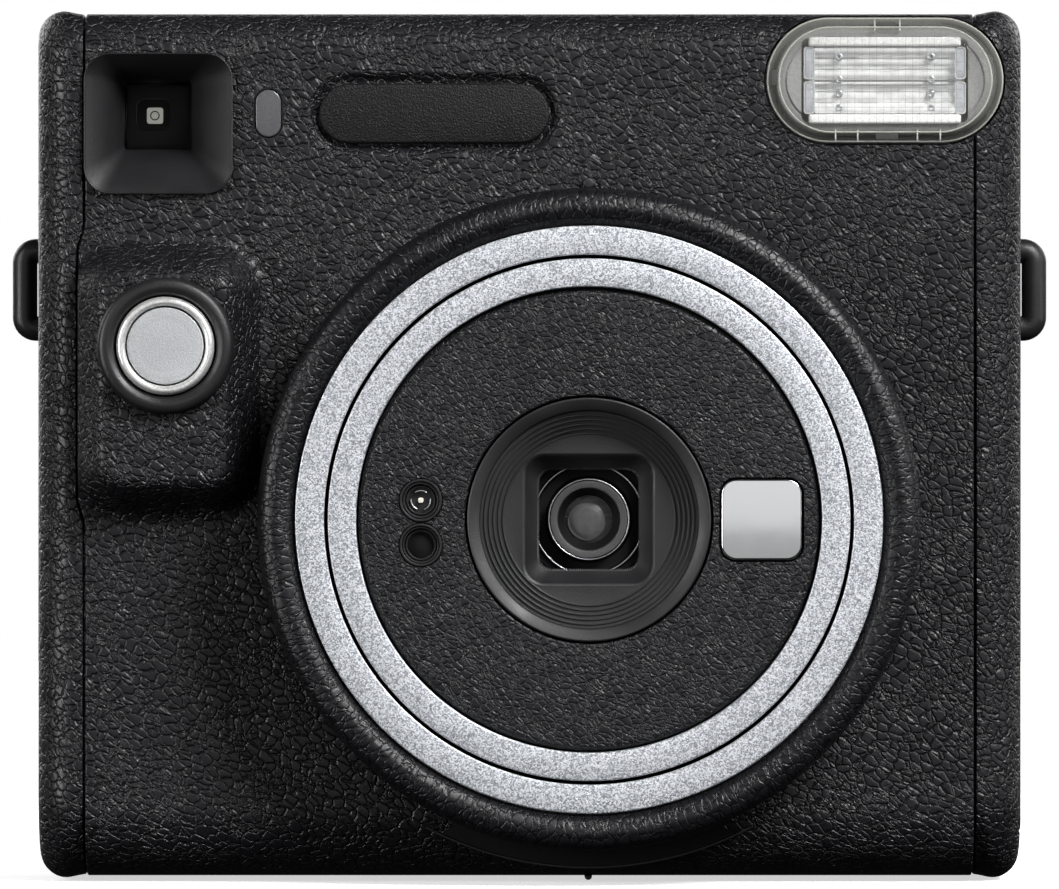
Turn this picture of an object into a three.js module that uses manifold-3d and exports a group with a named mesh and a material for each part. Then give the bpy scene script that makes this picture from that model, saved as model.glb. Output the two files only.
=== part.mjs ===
// Square-format instant camera, built as an assembly of separate solids.
//
// Frame: millimetres, +Z up, the lens looks along -Y, +X is to the right of someone facing the lens.
// The origin is the middle of the footprint, on the surface that the camera stands on.
import * as THREE from "three";
import { mergeVertices } from "three/addons/utils/BufferGeometryUtils.js";
import Module from "manifold-3d";

const wasm = await Module();
wasm.setup();

// ---------------------------------------------------------------- driving dimensions

const GAP = 0.3; // running and assembly clearance between neighbouring pieces
const WALL = 2; // wall of every casing part
const EPS = 1; // how far a cutter runs past the face that it opens

const BODY = { halfWidth: 66.85, height: 118.2, front: -17, rear: 25, step: 0.45 };
const CORNER = { frontTop: 5.5, frontBottom: 12.5, rear: 5, side: 3.6, sideFront: 6 };
const SEAM_X = 60.4; // the end covers begin here
const PARTING_Y = 2; // the front and rear shells meet here

const LENS = { x: 8, z: 49.1 }; // the optical axis
const DIAL = { outer: 44.6, inner: 39.8, crest: -31.9, back: -17.4, collar: 47.4 };
const OUTER_RING = { outer: 39.5, inner: 35.7, front: -31, back: -29.5 };
const INNER_RING = { outer: 35.1, inner: 31.3, front: -31, back: -28.7 };
const BARREL = { outer: 35.2, wall: 2, front: -28.4, back: -15.8 };
const FACE = { radius: 31, front: -30.6, back: -28.7 };
const HOOD = { outer: 16.4, mouth: 14.6, floor: 11.5, front: -31, floorY: -27, back: -20.8 };
const SQUARE = { mouth: 17.3, inner: 13.9, corner: 2.7 };
const FRONT_LENS = { ring: 5.3, glass: 4.2, front: -24.4, back: -20.8 };
const PORT = { x: -22.6, upperZ: 2.6, lowerZ: -3.4, radius: 2.9 };
const MIRROR = { x: 23.2, side: 10.8, corner: 1.9 };

const GRIP = {
  x: -48.6,
  z: 68.1,
  width: 23,
  height: 36.1,
  plateauWidth: 16.5,
  plateauHeight: 27.7,
  top: -24,
};
const SHUTTER = { x: -49.1, z: 72.5, collar: 9.3, bore: 6.9, trim: 6.6, cap: 5.2, front: -25.6 };
const FINDER = { x: -50.3, z: 102.7, width: 20.2, height: 19.1, eyeX: -50.7, eyeZ: 104, tunnel: 9.2 };
const PLATE = { x: -12.9, z: 104.05, width: 31.6, height: 8.5, dish: 1.2 };
const SENSOR = { x: -35.4, z: 104.1, width: 3.5, height: 6.45 };
const FLASH = {
  x: 48.2,
  z: 108.6,
  width: 32.2,
  height: 17,
  topWidth: 28.3,
  topHeight: 13.7,
  front: -18.8,
  back: -12.6,
  tubeY: -13.4,
};
const LUG = { z: 80.4, height: 14, bar: 3.4, reach: 4, hole: 7.2 };

const FILM_Y = 8.6; // film plane
const IMAGE = 62; // square picture area
const CHAMBER = { x0: -37, x1: 53, z0: 5, z1: 101, front: 7, back: 24.3, wall: 1.6 };
const DOOR = { x0: -42.5, x1: 53.4, z0: 3.5, z1: 103.5, inner: 25.3, outer: 28.9, corner: 6 };
const HINGE = { x: 56.9, y: 27.4, knuckle: 2.1, pin: 1 };
const CELL = { radius: 7.8, length: 27, x: 38, y: -3.2, lowZ: 16, highZ: 33 };
const BATTERY_DOOR = { y0: -11.2, y1: 5.6, z0: 6.6, z1: 42.4 };

const EYE = { width: 15.4, height: 13.4, corner: 3, stand: 6.9, holeWidth: 9.2, holeHeight: 7.2 };
const CASE_HOLE = { width: 10.4, height: 8.4, corner: 1 }; // in the rear shell, behind the eyepiece
const FILM_WINDOW = { x: LENS.x - 24, z: 60, width: 8.8, height: 25.8, corner: 2 };
const DOOR_LIP = { z: 53, width: 86, height: 92, wall: 1.5 };
const LATCH = { x: -50.5, z: 57, width: 9, height: 17, stemWidth: 2.4, slotWidth: 3.4 };
const COUNTER = { x: -51, windowZ: 22, width: 8, height: 6, corner: 1.5, dialZ: 16.5, dialRadius: 8 };
const CASE_SCREW = { reach: 32, y: 16, head: 2.2, shank: 1, recess: 2.5 };
const CAPACITOR = { radius: 6.3, x: -50.5, y: -6.5, z0: 8, z1: 42 };

const FLAP = { y: 13.9, z: 112.4, front: 5.4, half: 37, ear: 40.5 };

const GEAR_MODULE = 0.6;
const ROLLER = { radius: 3.7, z: 105.5, x0: -31, x1: 47 };
const GEAR_X = { x0: 55.2, x1: 58.2 };
const MOTOR = { radius: 7, x0: 31, x1: 52.6 };

// The gear train, seen along X: each wheel meshes with the one before it, in the direction
// given by its bearing in degrees from +Y towards +Z.
const rollerFront = { teeth: 13, y: FILM_Y - (GEAR_MODULE * 13) / 2, z: ROLLER.z, phase: 0 };
const rollerRear = meshedWheel(rollerFront, 13, 0);
const idler = meshedWheel(rollerFront, 26, 250);
const pinion = meshedWheel(idler, 10, 238);

const ROUND = 40; // facets of the large circles
const SMALL_ROUND = 16; // facets of the small ones

// ---------------------------------------------------------------- geometry helpers

// A closed geometry as a manifold solid, whichever way its faces pointed.
function solid(geometry) {
  const bare = geometry.index ? geometry.toNonIndexed() : geometry.clone();
  bare.deleteAttribute("normal");
  bare.deleteAttribute("uv");
  const merged = mergeVertices(bare, 1e-3);
  const vertProperties = new Float32Array(merged.attributes.position.array);
  const build = (triVerts) => new wasm.Manifold(new wasm.Mesh({ numProp: 3, vertProperties, triVerts }));
  const made = build(new Uint32Array(merged.index.array));
  if (made.volume() > 0) return made;
  return build(new Uint32Array(merged.index.array).reverse());
}

function toGeometry(made) {
  const mesh = made.getMesh();
  const geometry = new THREE.BufferGeometry();
  geometry.setAttribute("position", new THREE.BufferAttribute(new Float32Array(mesh.vertProperties), 3));
  geometry.setIndex(new THREE.BufferAttribute(new Uint32Array(mesh.triVerts), 1));
  geometry.computeVertexNormals();
  return geometry;
}

function block(x0, x1, y0, y1, z0, z1) {
  const geometry = new THREE.BoxGeometry(x1 - x0, y1 - y0, z1 - z0);
  return solid(geometry.translate((x0 + x1) / 2, (y0 + y1) / 2, (z0 + z1) / 2));
}

// A closed outline of [radius, y] points turned about the line through (x, z) along Y.
function turned(outline, x = 0, z = 0, facets = ROUND) {
  const points = [...outline, outline[0]].map(([radius, y]) => new THREE.Vector2(radius, y));
  return solid(new THREE.LatheGeometry(points, facets).translate(x, 0, z));
}

function discY(radius, y0, y1, x = 0, z = 0, facets = SMALL_ROUND) {
  const geometry = new THREE.CylinderGeometry(radius, radius, y1 - y0, facets);
  return solid(geometry.translate(x, (y0 + y1) / 2, z));
}

function tubeY(outer, inner, y0, y1, x = 0, z = 0, facets = ROUND) {
  return turned([[inner, y0], [outer, y0], [outer, y1], [inner, y1]], x, z, facets);
}

function rodX(radius, x0, x1, y = 0, z = 0, facets = SMALL_ROUND) {
  const geometry = new THREE.CylinderGeometry(radius, radius, x1 - x0, facets);
  return solid(geometry.rotateZ(Math.PI / 2).translate((x0 + x1) / 2, y, z));
}

function rodZ(radius, z0, z1, x = 0, y = 0, facets = SMALL_ROUND) {
  const geometry = new THREE.CylinderGeometry(radius, radius, z1 - z0, facets);
  return solid(geometry.rotateX(Math.PI / 2).translate(x, y, (z0 + z1) / 2));
}

// A rectangle with round corners; radii run from the corner at +a +b, anticlockwise.
function roundedShape(a0, a1, b0, b1, radii) {
  const [r0, r1, r2, r3] = Array.isArray(radii) ? radii : [radii, radii, radii, radii];
  const quarter = Math.PI / 2;
  const shape = new THREE.Shape();
  shape.absarc(a1 - r0, b1 - r0, r0, 0, quarter);
  shape.absarc(a0 + r1, b1 - r1, r1, quarter, 2 * quarter);
  shape.absarc(a0 + r2, b0 + r2, r2, 2 * quarter, 3 * quarter);
  shape.absarc(a1 - r3, b0 + r3, r3, 3 * quarter, 4 * quarter);
  return shape;
}

function extruded(shape, depth, curveSegments) {
  return new THREE.ExtrudeGeometry(shape, { depth, bevelEnabled: false, curveSegments });
}

// Shapes drawn in (y, z), (x, z) and (x, y), extruded along the axis that is left.
function slabX(shape, x0, x1, curveSegments = 3) {
  const turn = new THREE.Matrix4().makeBasis(
    new THREE.Vector3(0, 1, 0),
    new THREE.Vector3(0, 0, 1),
    new THREE.Vector3(1, 0, 0),
  );
  return solid(extruded(shape, x1 - x0, curveSegments).applyMatrix4(turn).translate(x0, 0, 0));
}

function slabY(shape, y0, y1, curveSegments = 3) {
  return solid(extruded(shape, y1 - y0, curveSegments).rotateX(Math.PI / 2).translate(0, y1, 0));
}

function slabZ(shape, z0, z1, curveSegments = 3) {
  return solid(extruded(shape, z1 - z0, curveSegments).translate(0, 0, z0));
}

function centred(x, z, width, height, corner) {
  return roundedShape(x - width / 2, x + width / 2, z - height / 2, z + height / 2, corner);
}

function stadium(x, z, width, height) {
  return centred(x, z, width, height, Math.min(width, height) / 2 - 0.01);
}

// A convex solid that blends from one outline to the next along Y. Each section is
// { shape, y }, drawn in (x, z), and all the shapes have the same number of points.
function loftY(sections, curveSegments = 2) {
  const rings = sections.map(({ shape, y }) => shape.getPoints(curveSegments).map((p) => [p.x, y, p.y]));
  const count = rings[0].length;
  const positions = rings.flat(2);
  const index = [];
  for (let level = 0; level + 1 < rings.length; level += 1) {
    for (let i = 0; i < count; i += 1) {
      const a = level * count + i;
      const b = level * count + ((i + 1) % count);
      index.push(a, b, b + count, a, b + count, a + count);
    }
  }
  const last = (rings.length - 1) * count;
  for (let i = 1; i + 1 < count; i += 1) {
    index.push(0, i + 1, i, last, last + i, last + i + 1);
  }
  const geometry = new THREE.BufferGeometry();
  geometry.setAttribute("position", new THREE.Float32BufferAttribute(positions, 3));
  geometry.setIndex(index);
  return solid(geometry);
}

// The centre and the tooth phase of a wheel that meshes with another one.
function meshedWheel(other, teeth, bearing) {
  const angle = THREE.MathUtils.degToRad(bearing);
  const distance = (GEAR_MODULE * (other.teeth + teeth)) / 2;
  const turnsOf = (count, direction) => (direction * count) / (2 * Math.PI);
  const otherPhase = turnsOf(other.teeth, angle) - other.phase;
  return {
    teeth,
    y: other.y + distance * Math.cos(angle),
    z: other.z + distance * Math.sin(angle),
    phase: turnsOf(teeth, angle + Math.PI) - 0.5 + otherPhase,
  };
}

// A spur gear about its wheel's centre along X, with straight-sided teeth.
function gearX({ teeth, y, z, phase }, x0, x1) {
  const pitch = (GEAR_MODULE * teeth) / 2;
  const tip = pitch + 0.75 * GEAR_MODULE;
  const root = pitch - 1.1 * GEAR_MODULE;
  const step = (2 * Math.PI) / teeth;
  const corners = [[-0.29, root], [-0.13, tip], [0.13, tip], [0.29, root]];
  const shape = new THREE.Shape();
  for (let tooth = 0; tooth < teeth; tooth += 1) {
    for (const [share, radius] of corners) {
      const angle = (tooth + share + phase) * step;
      const point = [y + radius * Math.cos(angle), z + radius * Math.sin(angle)];
      if (tooth === 0 && share === corners[0][0]) shape.moveTo(...point);
      else shape.lineTo(...point);
    }
  }
  return slabX(shape, x0, x1, 1);
}

// A round wire along a curve.
function wire(curve, radius, steps, sides = 6) {
  const section = new THREE.Shape();
  section.absarc(0, 0, radius, 0, 2 * Math.PI);
  const options = { steps, extrudePath: curve, curveSegments: sides / 2, bevelEnabled: false };
  return solid(new THREE.ExtrudeGeometry(section, options));
}

// ---------------------------------------------------------------- materials

function finish(color, roughness, metalness = 0) {
  return new THREE.MeshStandardMaterial({ color, roughness, metalness });
}

function clear(color, roughness, opacity) {
  return new THREE.MeshStandardMaterial({ color, roughness, transparent: true, opacity });
}

const MATERIAL = {
  leather: finish(0x1c1c20, 0.55),
  satinBlack: finish(0x17171a, 0.4),
  mattBlack: finish(0x101012, 0.7),
  innerPlastic: finish(0x242428, 0.65),
  silverPaint: finish(0xb7bcc2, 0.45, 0.6),
  chrome: finish(0xe2e3e6, 0.12, 1),
  brushed: finish(0xb9b9bb, 0.35, 0.9),
  glass: clear(0x2a2c30, 0.05, 0.6),
  smokeClear: clear(0xd8d9d4, 0.1, 0.4),
  mirror: finish(0xd0d0d2, 0.05, 1),
  steel: finish(0x9a9da0, 0.35, 0.9),
  rubber: finish(0x18181a, 0.9),
  greyPanel: finish(0x8c8c8a, 0.6),
  white: finish(0xe6e6e2, 0.5),
  board: finish(0x1f5a34, 0.6),
  cell: finish(0x3a3f46, 0.45),
  gear: finish(0xd9d5c8, 0.55),
};

const camera = new THREE.Group();
camera.name = "instant_camera";

function add(name, made, material, parent = camera) {
  const mesh = new THREE.Mesh(toGeometry(made), material);
  mesh.name = name;
  parent.add(mesh);
}

// ---------------------------------------------------------------- casing

// The casing's outer form, or the cavity inside it when inset is the wall.
function casingForm(inset, x0, x1, z0, z1) {
  const round = (radius) => Math.max(radius - inset, 0.5);
  const outline = roundedShape(BODY.front + inset, BODY.rear - inset, z0 + inset, z1 - inset, [
    round(CORNER.rear),
    round(CORNER.frontTop),
    round(CORNER.frontBottom),
    round(CORNER.rear),
  ]);
  return slabX(outline, x0, x1);
}

function baseCollar(grow = 0, back = 0) {
  return discY(DIAL.collar + grow, BODY.front, back, LENS.x, LENS.z, ROUND);
}

function gripForm(inset) {
  const grip = (width, height, y, corner) => ({
    shape: centred(GRIP.x, GRIP.z, width - 2 * inset, height - 2 * inset, corner - inset / 2),
    y: y + inset,
  });
  const { width, height, plateauWidth, plateauHeight, top } = GRIP;
  const shoulder = { w: (width - plateauWidth) / 4, h: (height - plateauHeight) / 4 };
  return loftY([
    grip(plateauWidth, plateauHeight, top, 3),
    grip(width - shoulder.w, height - shoulder.h, top + 3, 4.5),
    grip(width, height, BODY.front + 1, 5),
  ]);
}

// Everything that opens both the front shell and the right end cover.
function flashCutter() {
  const shape = stadium(FLASH.x, FLASH.z, FLASH.width + 2 * GAP, FLASH.height + 2 * GAP);
  return slabY(shape, FLASH.front - EPS, -8);
}

function frontShell() {
  const x1 = SEAM_X - GAP / 2;
  const z1 = BODY.height - BODY.step;
  const cavity = casingForm(WALL, -x1 - EPS, x1 + EPS, BODY.step, z1);
  const grip = gripForm(0).subtract(gripForm(WALL)).subtract(
    block(-x1, 0, BODY.front + 0.5, 0, 0, BODY.height),
  );
  const tunnel = centred(FINDER.x, FINDER.z, FINDER.width - 2, FINDER.height - 2, 2.8);
  const dish = centred(PLATE.x, PLATE.z, PLATE.width + PLATE.dish, PLATE.height + PLATE.dish,
    (PLATE.height + PLATE.dish) / 2 - 0.01);
  const gripBack = centred(GRIP.x, GRIP.z, GRIP.width - 9, GRIP.height - 9, 2);
  return casingForm(0, -x1, x1, BODY.step, z1)
    .add(baseCollar().intersect(block(-x1, x1, BODY.front, 0, BODY.step, z1)))
    .subtract(cavity)
    .subtract(block(-x1 - EPS, x1 + EPS, PARTING_Y - GAP / 2, BODY.rear + EPS, -EPS, BODY.height))
    .add(grip)
    .subtract(slabY(gripBack, BODY.front - WALL, BODY.front + WALL + EPS))
    .subtract(discY(SHUTTER.bore + 1, GRIP.top - EPS, BODY.front, SHUTTER.x, SHUTTER.z, 20))
    .subtract(discY(BARREL.outer + 0.6, BODY.front - EPS, BODY.front + WALL + EPS, LENS.x, LENS.z, ROUND))
    .subtract(slabY(tunnel, BODY.front - EPS, BODY.front + WALL + EPS))
    .subtract(slabY(dish, BODY.front - EPS, BODY.front + 1.4))
    .subtract(slabY(stadium(SENSOR.x, SENSOR.z, SENSOR.width + 2 * GAP, SENSOR.height + 2 * GAP),
      BODY.front - EPS, BODY.front + WALL + EPS))
    .subtract(flashCutter());
}

// An end cover's outer form at +X, or its cavity when inset is the wall.
function endForm(inset, x0) {
  const { halfWidth, height, front, rear } = BODY;
  const round = (radius) => radius - inset;
  const side = round(CORNER.side);
  const faceOutline = roundedShape(-halfWidth + inset, halfWidth - inset, inset, height - inset, side);
  const planOutline = roundedShape(-halfWidth + inset, halfWidth - inset, front + inset, rear - inset, [
    round(CORNER.rear),
    round(CORNER.rear),
    round(CORNER.sideFront),
    round(CORNER.sideFront),
  ]);
  return casingForm(inset, x0, halfWidth + EPS, 0, height)
    .intersect(slabY(faceOutline, front - EPS, rear + EPS))
    .intersect(slabZ(planOutline, -EPS, height + EPS));
}

const LUG_FLOOR = BODY.halfWidth - 4.75; // the lug's pocket ends here

function lugPocketForm(grow) {
  const { halfWidth } = BODY;
  const shape = new THREE.Shape();
  shape.moveTo(LUG_FLOOR - grow, -3.6 - grow);
  shape.lineTo(halfWidth + EPS, -9.5 - grow);
  shape.lineTo(halfWidth + EPS, 9.5 + grow);
  shape.lineTo(LUG_FLOOR - grow, 3.6 + grow);
  const half = LUG.height / 2 + GAP + grow;
  return slabZ(shape, LUG.z - half, LUG.z + half);
}

function endCover() {
  const x0 = SEAM_X + GAP / 2;
  const pocketWall = lugPocketForm(1.2).intersect(endForm(0.5, x0));
  return endForm(0, x0).subtract(endForm(WALL, x0 - EPS)).add(pocketWall).subtract(lugPocketForm(0));
}

// The same solid on the other side of the X = 0 plane.
function mirroredX(made) {
  const geometry = toGeometry(made);
  geometry.scale(-1, 1, 1);
  return solid(geometry);
}

function rightEndCover() {
  const { y0, y1, z0, z1 } = BATTERY_DOOR;
  const opening = roundedShape(y0 - GAP, y1 + GAP, z0 - GAP, z1 + GAP, 2);
  return endCover().subtract(flashCutter()).subtract(slabX(opening, SEAM_X - EPS, BODY.halfWidth + EPS, 3));
}

function eyepieceHole() {
  const { width, height, corner } = CASE_HOLE;
  const shape = centred(FINDER.eyeX, FINDER.eyeZ, width, height, corner);
  return slabY(shape, BODY.rear - WALL - EPS, BODY.rear + EPS, 1);
}

function caseScrewPlaces() {
  return [-1, 1].map((side) => ({ x: LENS.x + side * CASE_SCREW.reach, y: CASE_SCREW.y }));
}

function knuckle(z0, z1, armX) {
  const { x, y } = HINGE;
  const arm = block(Math.min(armX, x), Math.max(armX, x), y - 1.4, y + 1.2, z0, z1);
  return rodZ(HINGE.knuckle, z0, z1, x, y, 12)
    .add(arm)
    .subtract(rodZ(HINGE.pin + 0.2, z0 - EPS, z1 + EPS, x, y, 12));
}

const DOOR_KNUCKLES = [[22, 38], [70, 86]];
const SHELL_KNUCKLES = [[12, 21.7], [38.3, 69.7], [86.3, 96]];

function rearShell() {
  const x1 = SEAM_X - GAP / 2;
  const z1 = BODY.height - BODY.step;
  const rearFace = BODY.rear - WALL - EPS;
  const doorway = roundedShape(CHAMBER.x0 - 3, CHAMBER.x1 + GAP, CHAMBER.z0 - GAP, CHAMBER.z1 + 0.6, 0.5);
  const halfSlot = LATCH.slotWidth / 2;
  const latchSlot = block(LATCH.x - halfSlot, LATCH.x + halfSlot, rearFace, BODY.rear + EPS,
    LATCH.z - 8.5, LATCH.z + 5);
  const counterHole = centred(COUNTER.x, COUNTER.windowZ, COUNTER.width + 2 * GAP, COUNTER.height + 2 * GAP,
    COUNTER.corner + GAP);
  const exitSlot = block(LENS.x - 38, LENS.x + 38, 5, 15.2, BODY.height - WALL - EPS, BODY.height + EPS);
  let shell = casingForm(0, -x1, x1, BODY.step, z1)
    .subtract(casingForm(WALL, -x1 - EPS, x1 + EPS, BODY.step, z1))
    .subtract(block(-x1 - EPS, x1 + EPS, BODY.front - EPS, PARTING_Y + GAP / 2, -EPS, BODY.height))
    .subtract(slabY(doorway, rearFace, BODY.rear + EPS, 1))
    .subtract(eyepieceHole())
    .subtract(latchSlot)
    .subtract(exitSlot)
    .subtract(slabY(counterHole, rearFace, BODY.rear + EPS));
  for (const { x, y } of caseScrewPlaces()) {
    shell = shell
      .subtract(rodZ(CASE_SCREW.shank + 0.4, -EPS, 5, x, y))
      .subtract(rodZ(CASE_SCREW.recess, -EPS, BODY.step + 1.1, x, y));
  }
  for (const side of [-1, 1]) {
    const x = LENS.x + side * FLAP.ear;
    shell = shell
      .add(block(x - 0.8, x + 0.8, FLAP.y - 1.8, FLAP.y + 1.8, FLAP.z - 1.8, z1 - WALL + 0.2))
      .subtract(rodX(1.15, x - EPS, x + EPS, FLAP.y, FLAP.z, 12));
  }
  for (const [low, high] of SHELL_KNUCKLES) {
    const foot = block(HINGE.x - 1.4, HINGE.x + 1.6, BODY.rear - 0.5, HINGE.y, low, high)
      .subtract(rodZ(HINGE.pin + 0.2, low - EPS, high + EPS, HINGE.x, HINGE.y, 12));
    shell = shell.add(knuckle(low, high, HINGE.x + 1.6)).add(foot);
  }
  return shell;
}

function batteryDoor() {
  const { y0, y1, z0, z1 } = BATTERY_DOOR;
  const outer = slabX(roundedShape(y0, y1, z0, z1, 2 - GAP), BODY.halfWidth - 1.5, BODY.halfWidth, 3);
  const notch = rodZ(1.6, (z0 + z1) / 2 - 5, (z0 + z1) / 2 + 5, BODY.halfWidth + 0.9, y0 + 2, 12);
  return outer.subtract(notch);
}

function caseScrew({ x, y }) {
  const head = rodZ(CASE_SCREW.head, BODY.step + 0.1, BODY.step + 0.9, x, y);
  const slot = [0, Math.PI / 2].map((angle) => {
    const geometry = new THREE.BoxGeometry(2.4, 0.5, 0.8).rotateZ(angle);
    return solid(geometry.translate(x, y, BODY.step + 0.1));
  });
  const shank = rodZ(CASE_SCREW.shank, BODY.step + 0.7, 7.5, x, y, 12);
  return head.add(shank).subtract(slot[0]).subtract(slot[1]);
}

function strapLug() {
  const outer = BODY.halfWidth + LUG.reach;
  const bar = LUG.bar / 2;
  const foot = LUG_FLOOR + GAP;
  const half = LUG.height / 2;
  const ring = roundedShape(foot, outer, LUG.z - half, LUG.z + half, [3.4, 0.6, 0.6, 3.4]);
  const hole = roundedShape(foot + 0.9, outer - LUG.bar, LUG.z - LUG.hole / 2, LUG.z + LUG.hole / 2, 0.8);
  return slabY(ring, -bar, bar, 4).subtract(slabY(hole, -bar - EPS, bar + EPS, 2));
}

function buildCasing() {
  add("front_shell", frontShell(), MATERIAL.leather);
  add("rear_shell", rearShell(), MATERIAL.leather);
  add("left_end_cover", mirroredX(endCover()), MATERIAL.leather);
  add("right_end_cover", rightEndCover(), MATERIAL.leather);
  add("battery_door", batteryDoor(), MATERIAL.leather);
  add("strap_lug_right", strapLug(), MATERIAL.satinBlack);
  add("strap_lug_left", mirroredX(strapLug()), MATERIAL.satinBlack);
  caseScrewPlaces().forEach((place, i) => add("case_screw_" + (i + 1), caseScrew(place), MATERIAL.steel));

  // A half-round mark over the dial and a half-round pip under the collar.
  const markZ = LENS.z + DIAL.collar - 1.7;
  add("index_mark", discY(0.6, BODY.front - 1, BODY.front - GAP, LENS.x, markZ, 12), MATERIAL.satinBlack);
  add("foot_pip", discY(0.55, -10, -2, LENS.x, 0.55, 12).subtract(
    block(LENS.x - 2, LENS.x + 2, -11, 0, BODY.step - 0.05, 3)), MATERIAL.rubber);
}

// ---------------------------------------------------------------- front trim

function finderBezel() {
  const { x, z, width, height, eyeX, eyeZ, tunnel } = FINDER;
  const rim = slabY(centred(x, z, width, height, 3.6), BODY.front - 0.9, BODY.front - GAP);
  const throat = slabY(centred(x, z, width - 2 - 2 * GAP, height - 2 - 2 * GAP, 2.5), BODY.front - 0.5, -7);
  const tube = slabY(centred(eyeX, eyeZ, tunnel + 3.2, tunnel + 3.2, 0.6), -8, BODY.rear - WALL - GAP, 1);
  const funnel = loftY([
    { shape: centred(x, z, width - 1.6, height - 1.6, 2.9), y: BODY.front - 1 },
    { shape: centred(eyeX, eyeZ, tunnel, tunnel, 0.5), y: -9 },
  ]);
  const bore = slabY(centred(eyeX, eyeZ, tunnel, tunnel, 0.5), -9.2, 24, 2);
  return rim.add(throat).add(tube).subtract(funnel).subtract(bore);
}

function finderLens(y, bulge) {
  const { eyeX, eyeZ, tunnel } = FINDER;
  const side = tunnel - 2 * GAP;
  return loftY([
    { shape: centred(eyeX, eyeZ, side - 2, side - 2, 0.6), y: y - bulge },
    { shape: centred(eyeX, eyeZ, side, side, 0.6), y },
    { shape: centred(eyeX, eyeZ, side, side, 0.6), y: y + 1.4 },
  ]);
}

function eyepiece() {
  const { eyeX, eyeZ } = FINDER;
  const { width, height, corner, stand, holeWidth, holeHeight } = EYE;
  const rear = BODY.rear + stand;
  const cup = loftY([
    { shape: centred(eyeX, eyeZ, width, height, corner), y: BODY.rear + GAP },
    { shape: centred(eyeX, eyeZ, width - 0.4, height - 0.4, corner), y: rear - 2 },
    { shape: centred(eyeX, eyeZ, width - 2, height - 2, corner - 0.6), y: rear },
  ]);
  return cup.subtract(slabY(centred(eyeX, eyeZ, holeWidth, holeHeight, corner / 2), BODY.rear, rear + EPS));
}

function flashCover() {
  const { x, z, width, height, topWidth, topHeight, front, back } = FLASH;
  const shell = (inset, end) => loftY([
    { shape: stadium(x, z, topWidth - 2 * inset, topHeight - 2 * inset), y: front + inset },
    { shape: stadium(x, z, width - 2 * inset, height - 2 * inset), y: front + 1.9 + inset },
    { shape: stadium(x, z, width - 2 * inset, height - 2 * inset), y: end },
  ], 4);
  return shell(0, back).subtract(shell(1, back + 1.6));
}

function flashHousing() {
  const { x, z, width, height } = FLASH;
  const outer = slabY(stadium(x, z, width - 2 - 2 * GAP, height - 2 - 2 * GAP), -15.7, -9.8);
  return outer
    .subtract(slabY(centred(x, z, 20.6, 10.4, 1), -17, -9))
    .subtract(rodX(1.6, x - 13, x + 13, FLASH.tubeY, z, 12));
}

function flashReflector() {
  const { x, z } = FLASH;
  const [halfHeight, mouth, depth, sheet] = [4.6, -17.2, 4.6, 0.5];
  const trough = (grow) => {
    const floor = mouth + depth + 2 * grow;
    const half = halfHeight + grow;
    const shape = new THREE.Shape();
    shape.moveTo(mouth, z - half);
    shape.lineTo(mouth, z + half);
    shape.quadraticCurveTo(floor, z + half, floor, z);
    shape.quadraticCurveTo(floor, z - half, mouth, z - half);
    return shape;
  };
  const outer = slabX(trough(sheet), x - 9.8, x + 9.8, 4);
  const inner = slabX(trough(0), x - 9.3, x + 9.3, 4);
  const tubeHole = rodX(1.6, x - 11, x + 11, FLASH.tubeY, z, 12);
  return outer.subtract(inner).subtract(tubeHole).subtract(block(x - 11, x + 11, -18, -16.9, z - 8, z + 8));
}

function buildFrontTrim() {
  const lastTube = BODY.rear + 1.2;
  add("viewfinder_bezel", finderBezel(), MATERIAL.satinBlack);
  add("viewfinder_front_lens", finderLens(-7, 0.6), MATERIAL.glass);
  add("viewfinder_rear_lens", slabY(centred(FINDER.eyeX, FINDER.eyeZ, 8.6, 6.6, 1.2), lastTube, lastTube + 2),
    MATERIAL.glass);
  add("viewfinder_eyepiece", eyepiece(), MATERIAL.rubber);
  const floor = BODY.front + 1.4 - GAP;
  const plateOutline = stadium(PLATE.x, PLATE.z, PLATE.width - 0.4, PLATE.height - 0.4);
  add("name_plate", slabY(plateOutline, BODY.front - 0.1, floor), MATERIAL.satinBlack);
  add("light_sensor_window", slabY(stadium(SENSOR.x, SENSOR.z, SENSOR.width, SENSOR.height),
    BODY.front - 0.2, BODY.front + 1.8), MATERIAL.glass);
  add("flash_cover", flashCover(), MATERIAL.smokeClear);
  add("flash_housing", flashHousing(), MATERIAL.greyPanel);
  add("flash_reflector", flashReflector(), MATERIAL.chrome);
  add("flash_tube", rodX(1.2, FLASH.x - 12, FLASH.x + 12, FLASH.tubeY, FLASH.z, 12), MATERIAL.glass);
}

// ---------------------------------------------------------------- lens dial and barrel

const lens = new THREE.Group();
lens.position.set(LENS.x, 0, LENS.z);
camera.add(lens);

function dialRing() {
  const { outer, inner, crest, back } = DIAL;
  return turned([
    [inner, crest + 0.9],
    [inner + 1, crest + 0.2],
    [inner + 2.3, crest],
    [outer - 1.2, crest + 0.6],
    [outer - 0.2, crest + 2],
    [outer, crest + 4],
    [outer, back],
    [OUTER_RING.inner + 0.2, back],
    [OUTER_RING.inner + 0.2, OUTER_RING.back + GAP],
    [inner, OUTER_RING.back + GAP],
  ]);
}

function barrelTube() {
  const { outer, wall, front, back } = BARREL;
  const cup = turned([
    [HOOD.outer + GAP, front],
    [outer, front],
    [outer, back],
    [outer - wall, back],
    [outer - wall, front + 1.5],
    [HOOD.outer + GAP, front + 1.5],
  ]);
  return cup;
}

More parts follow.
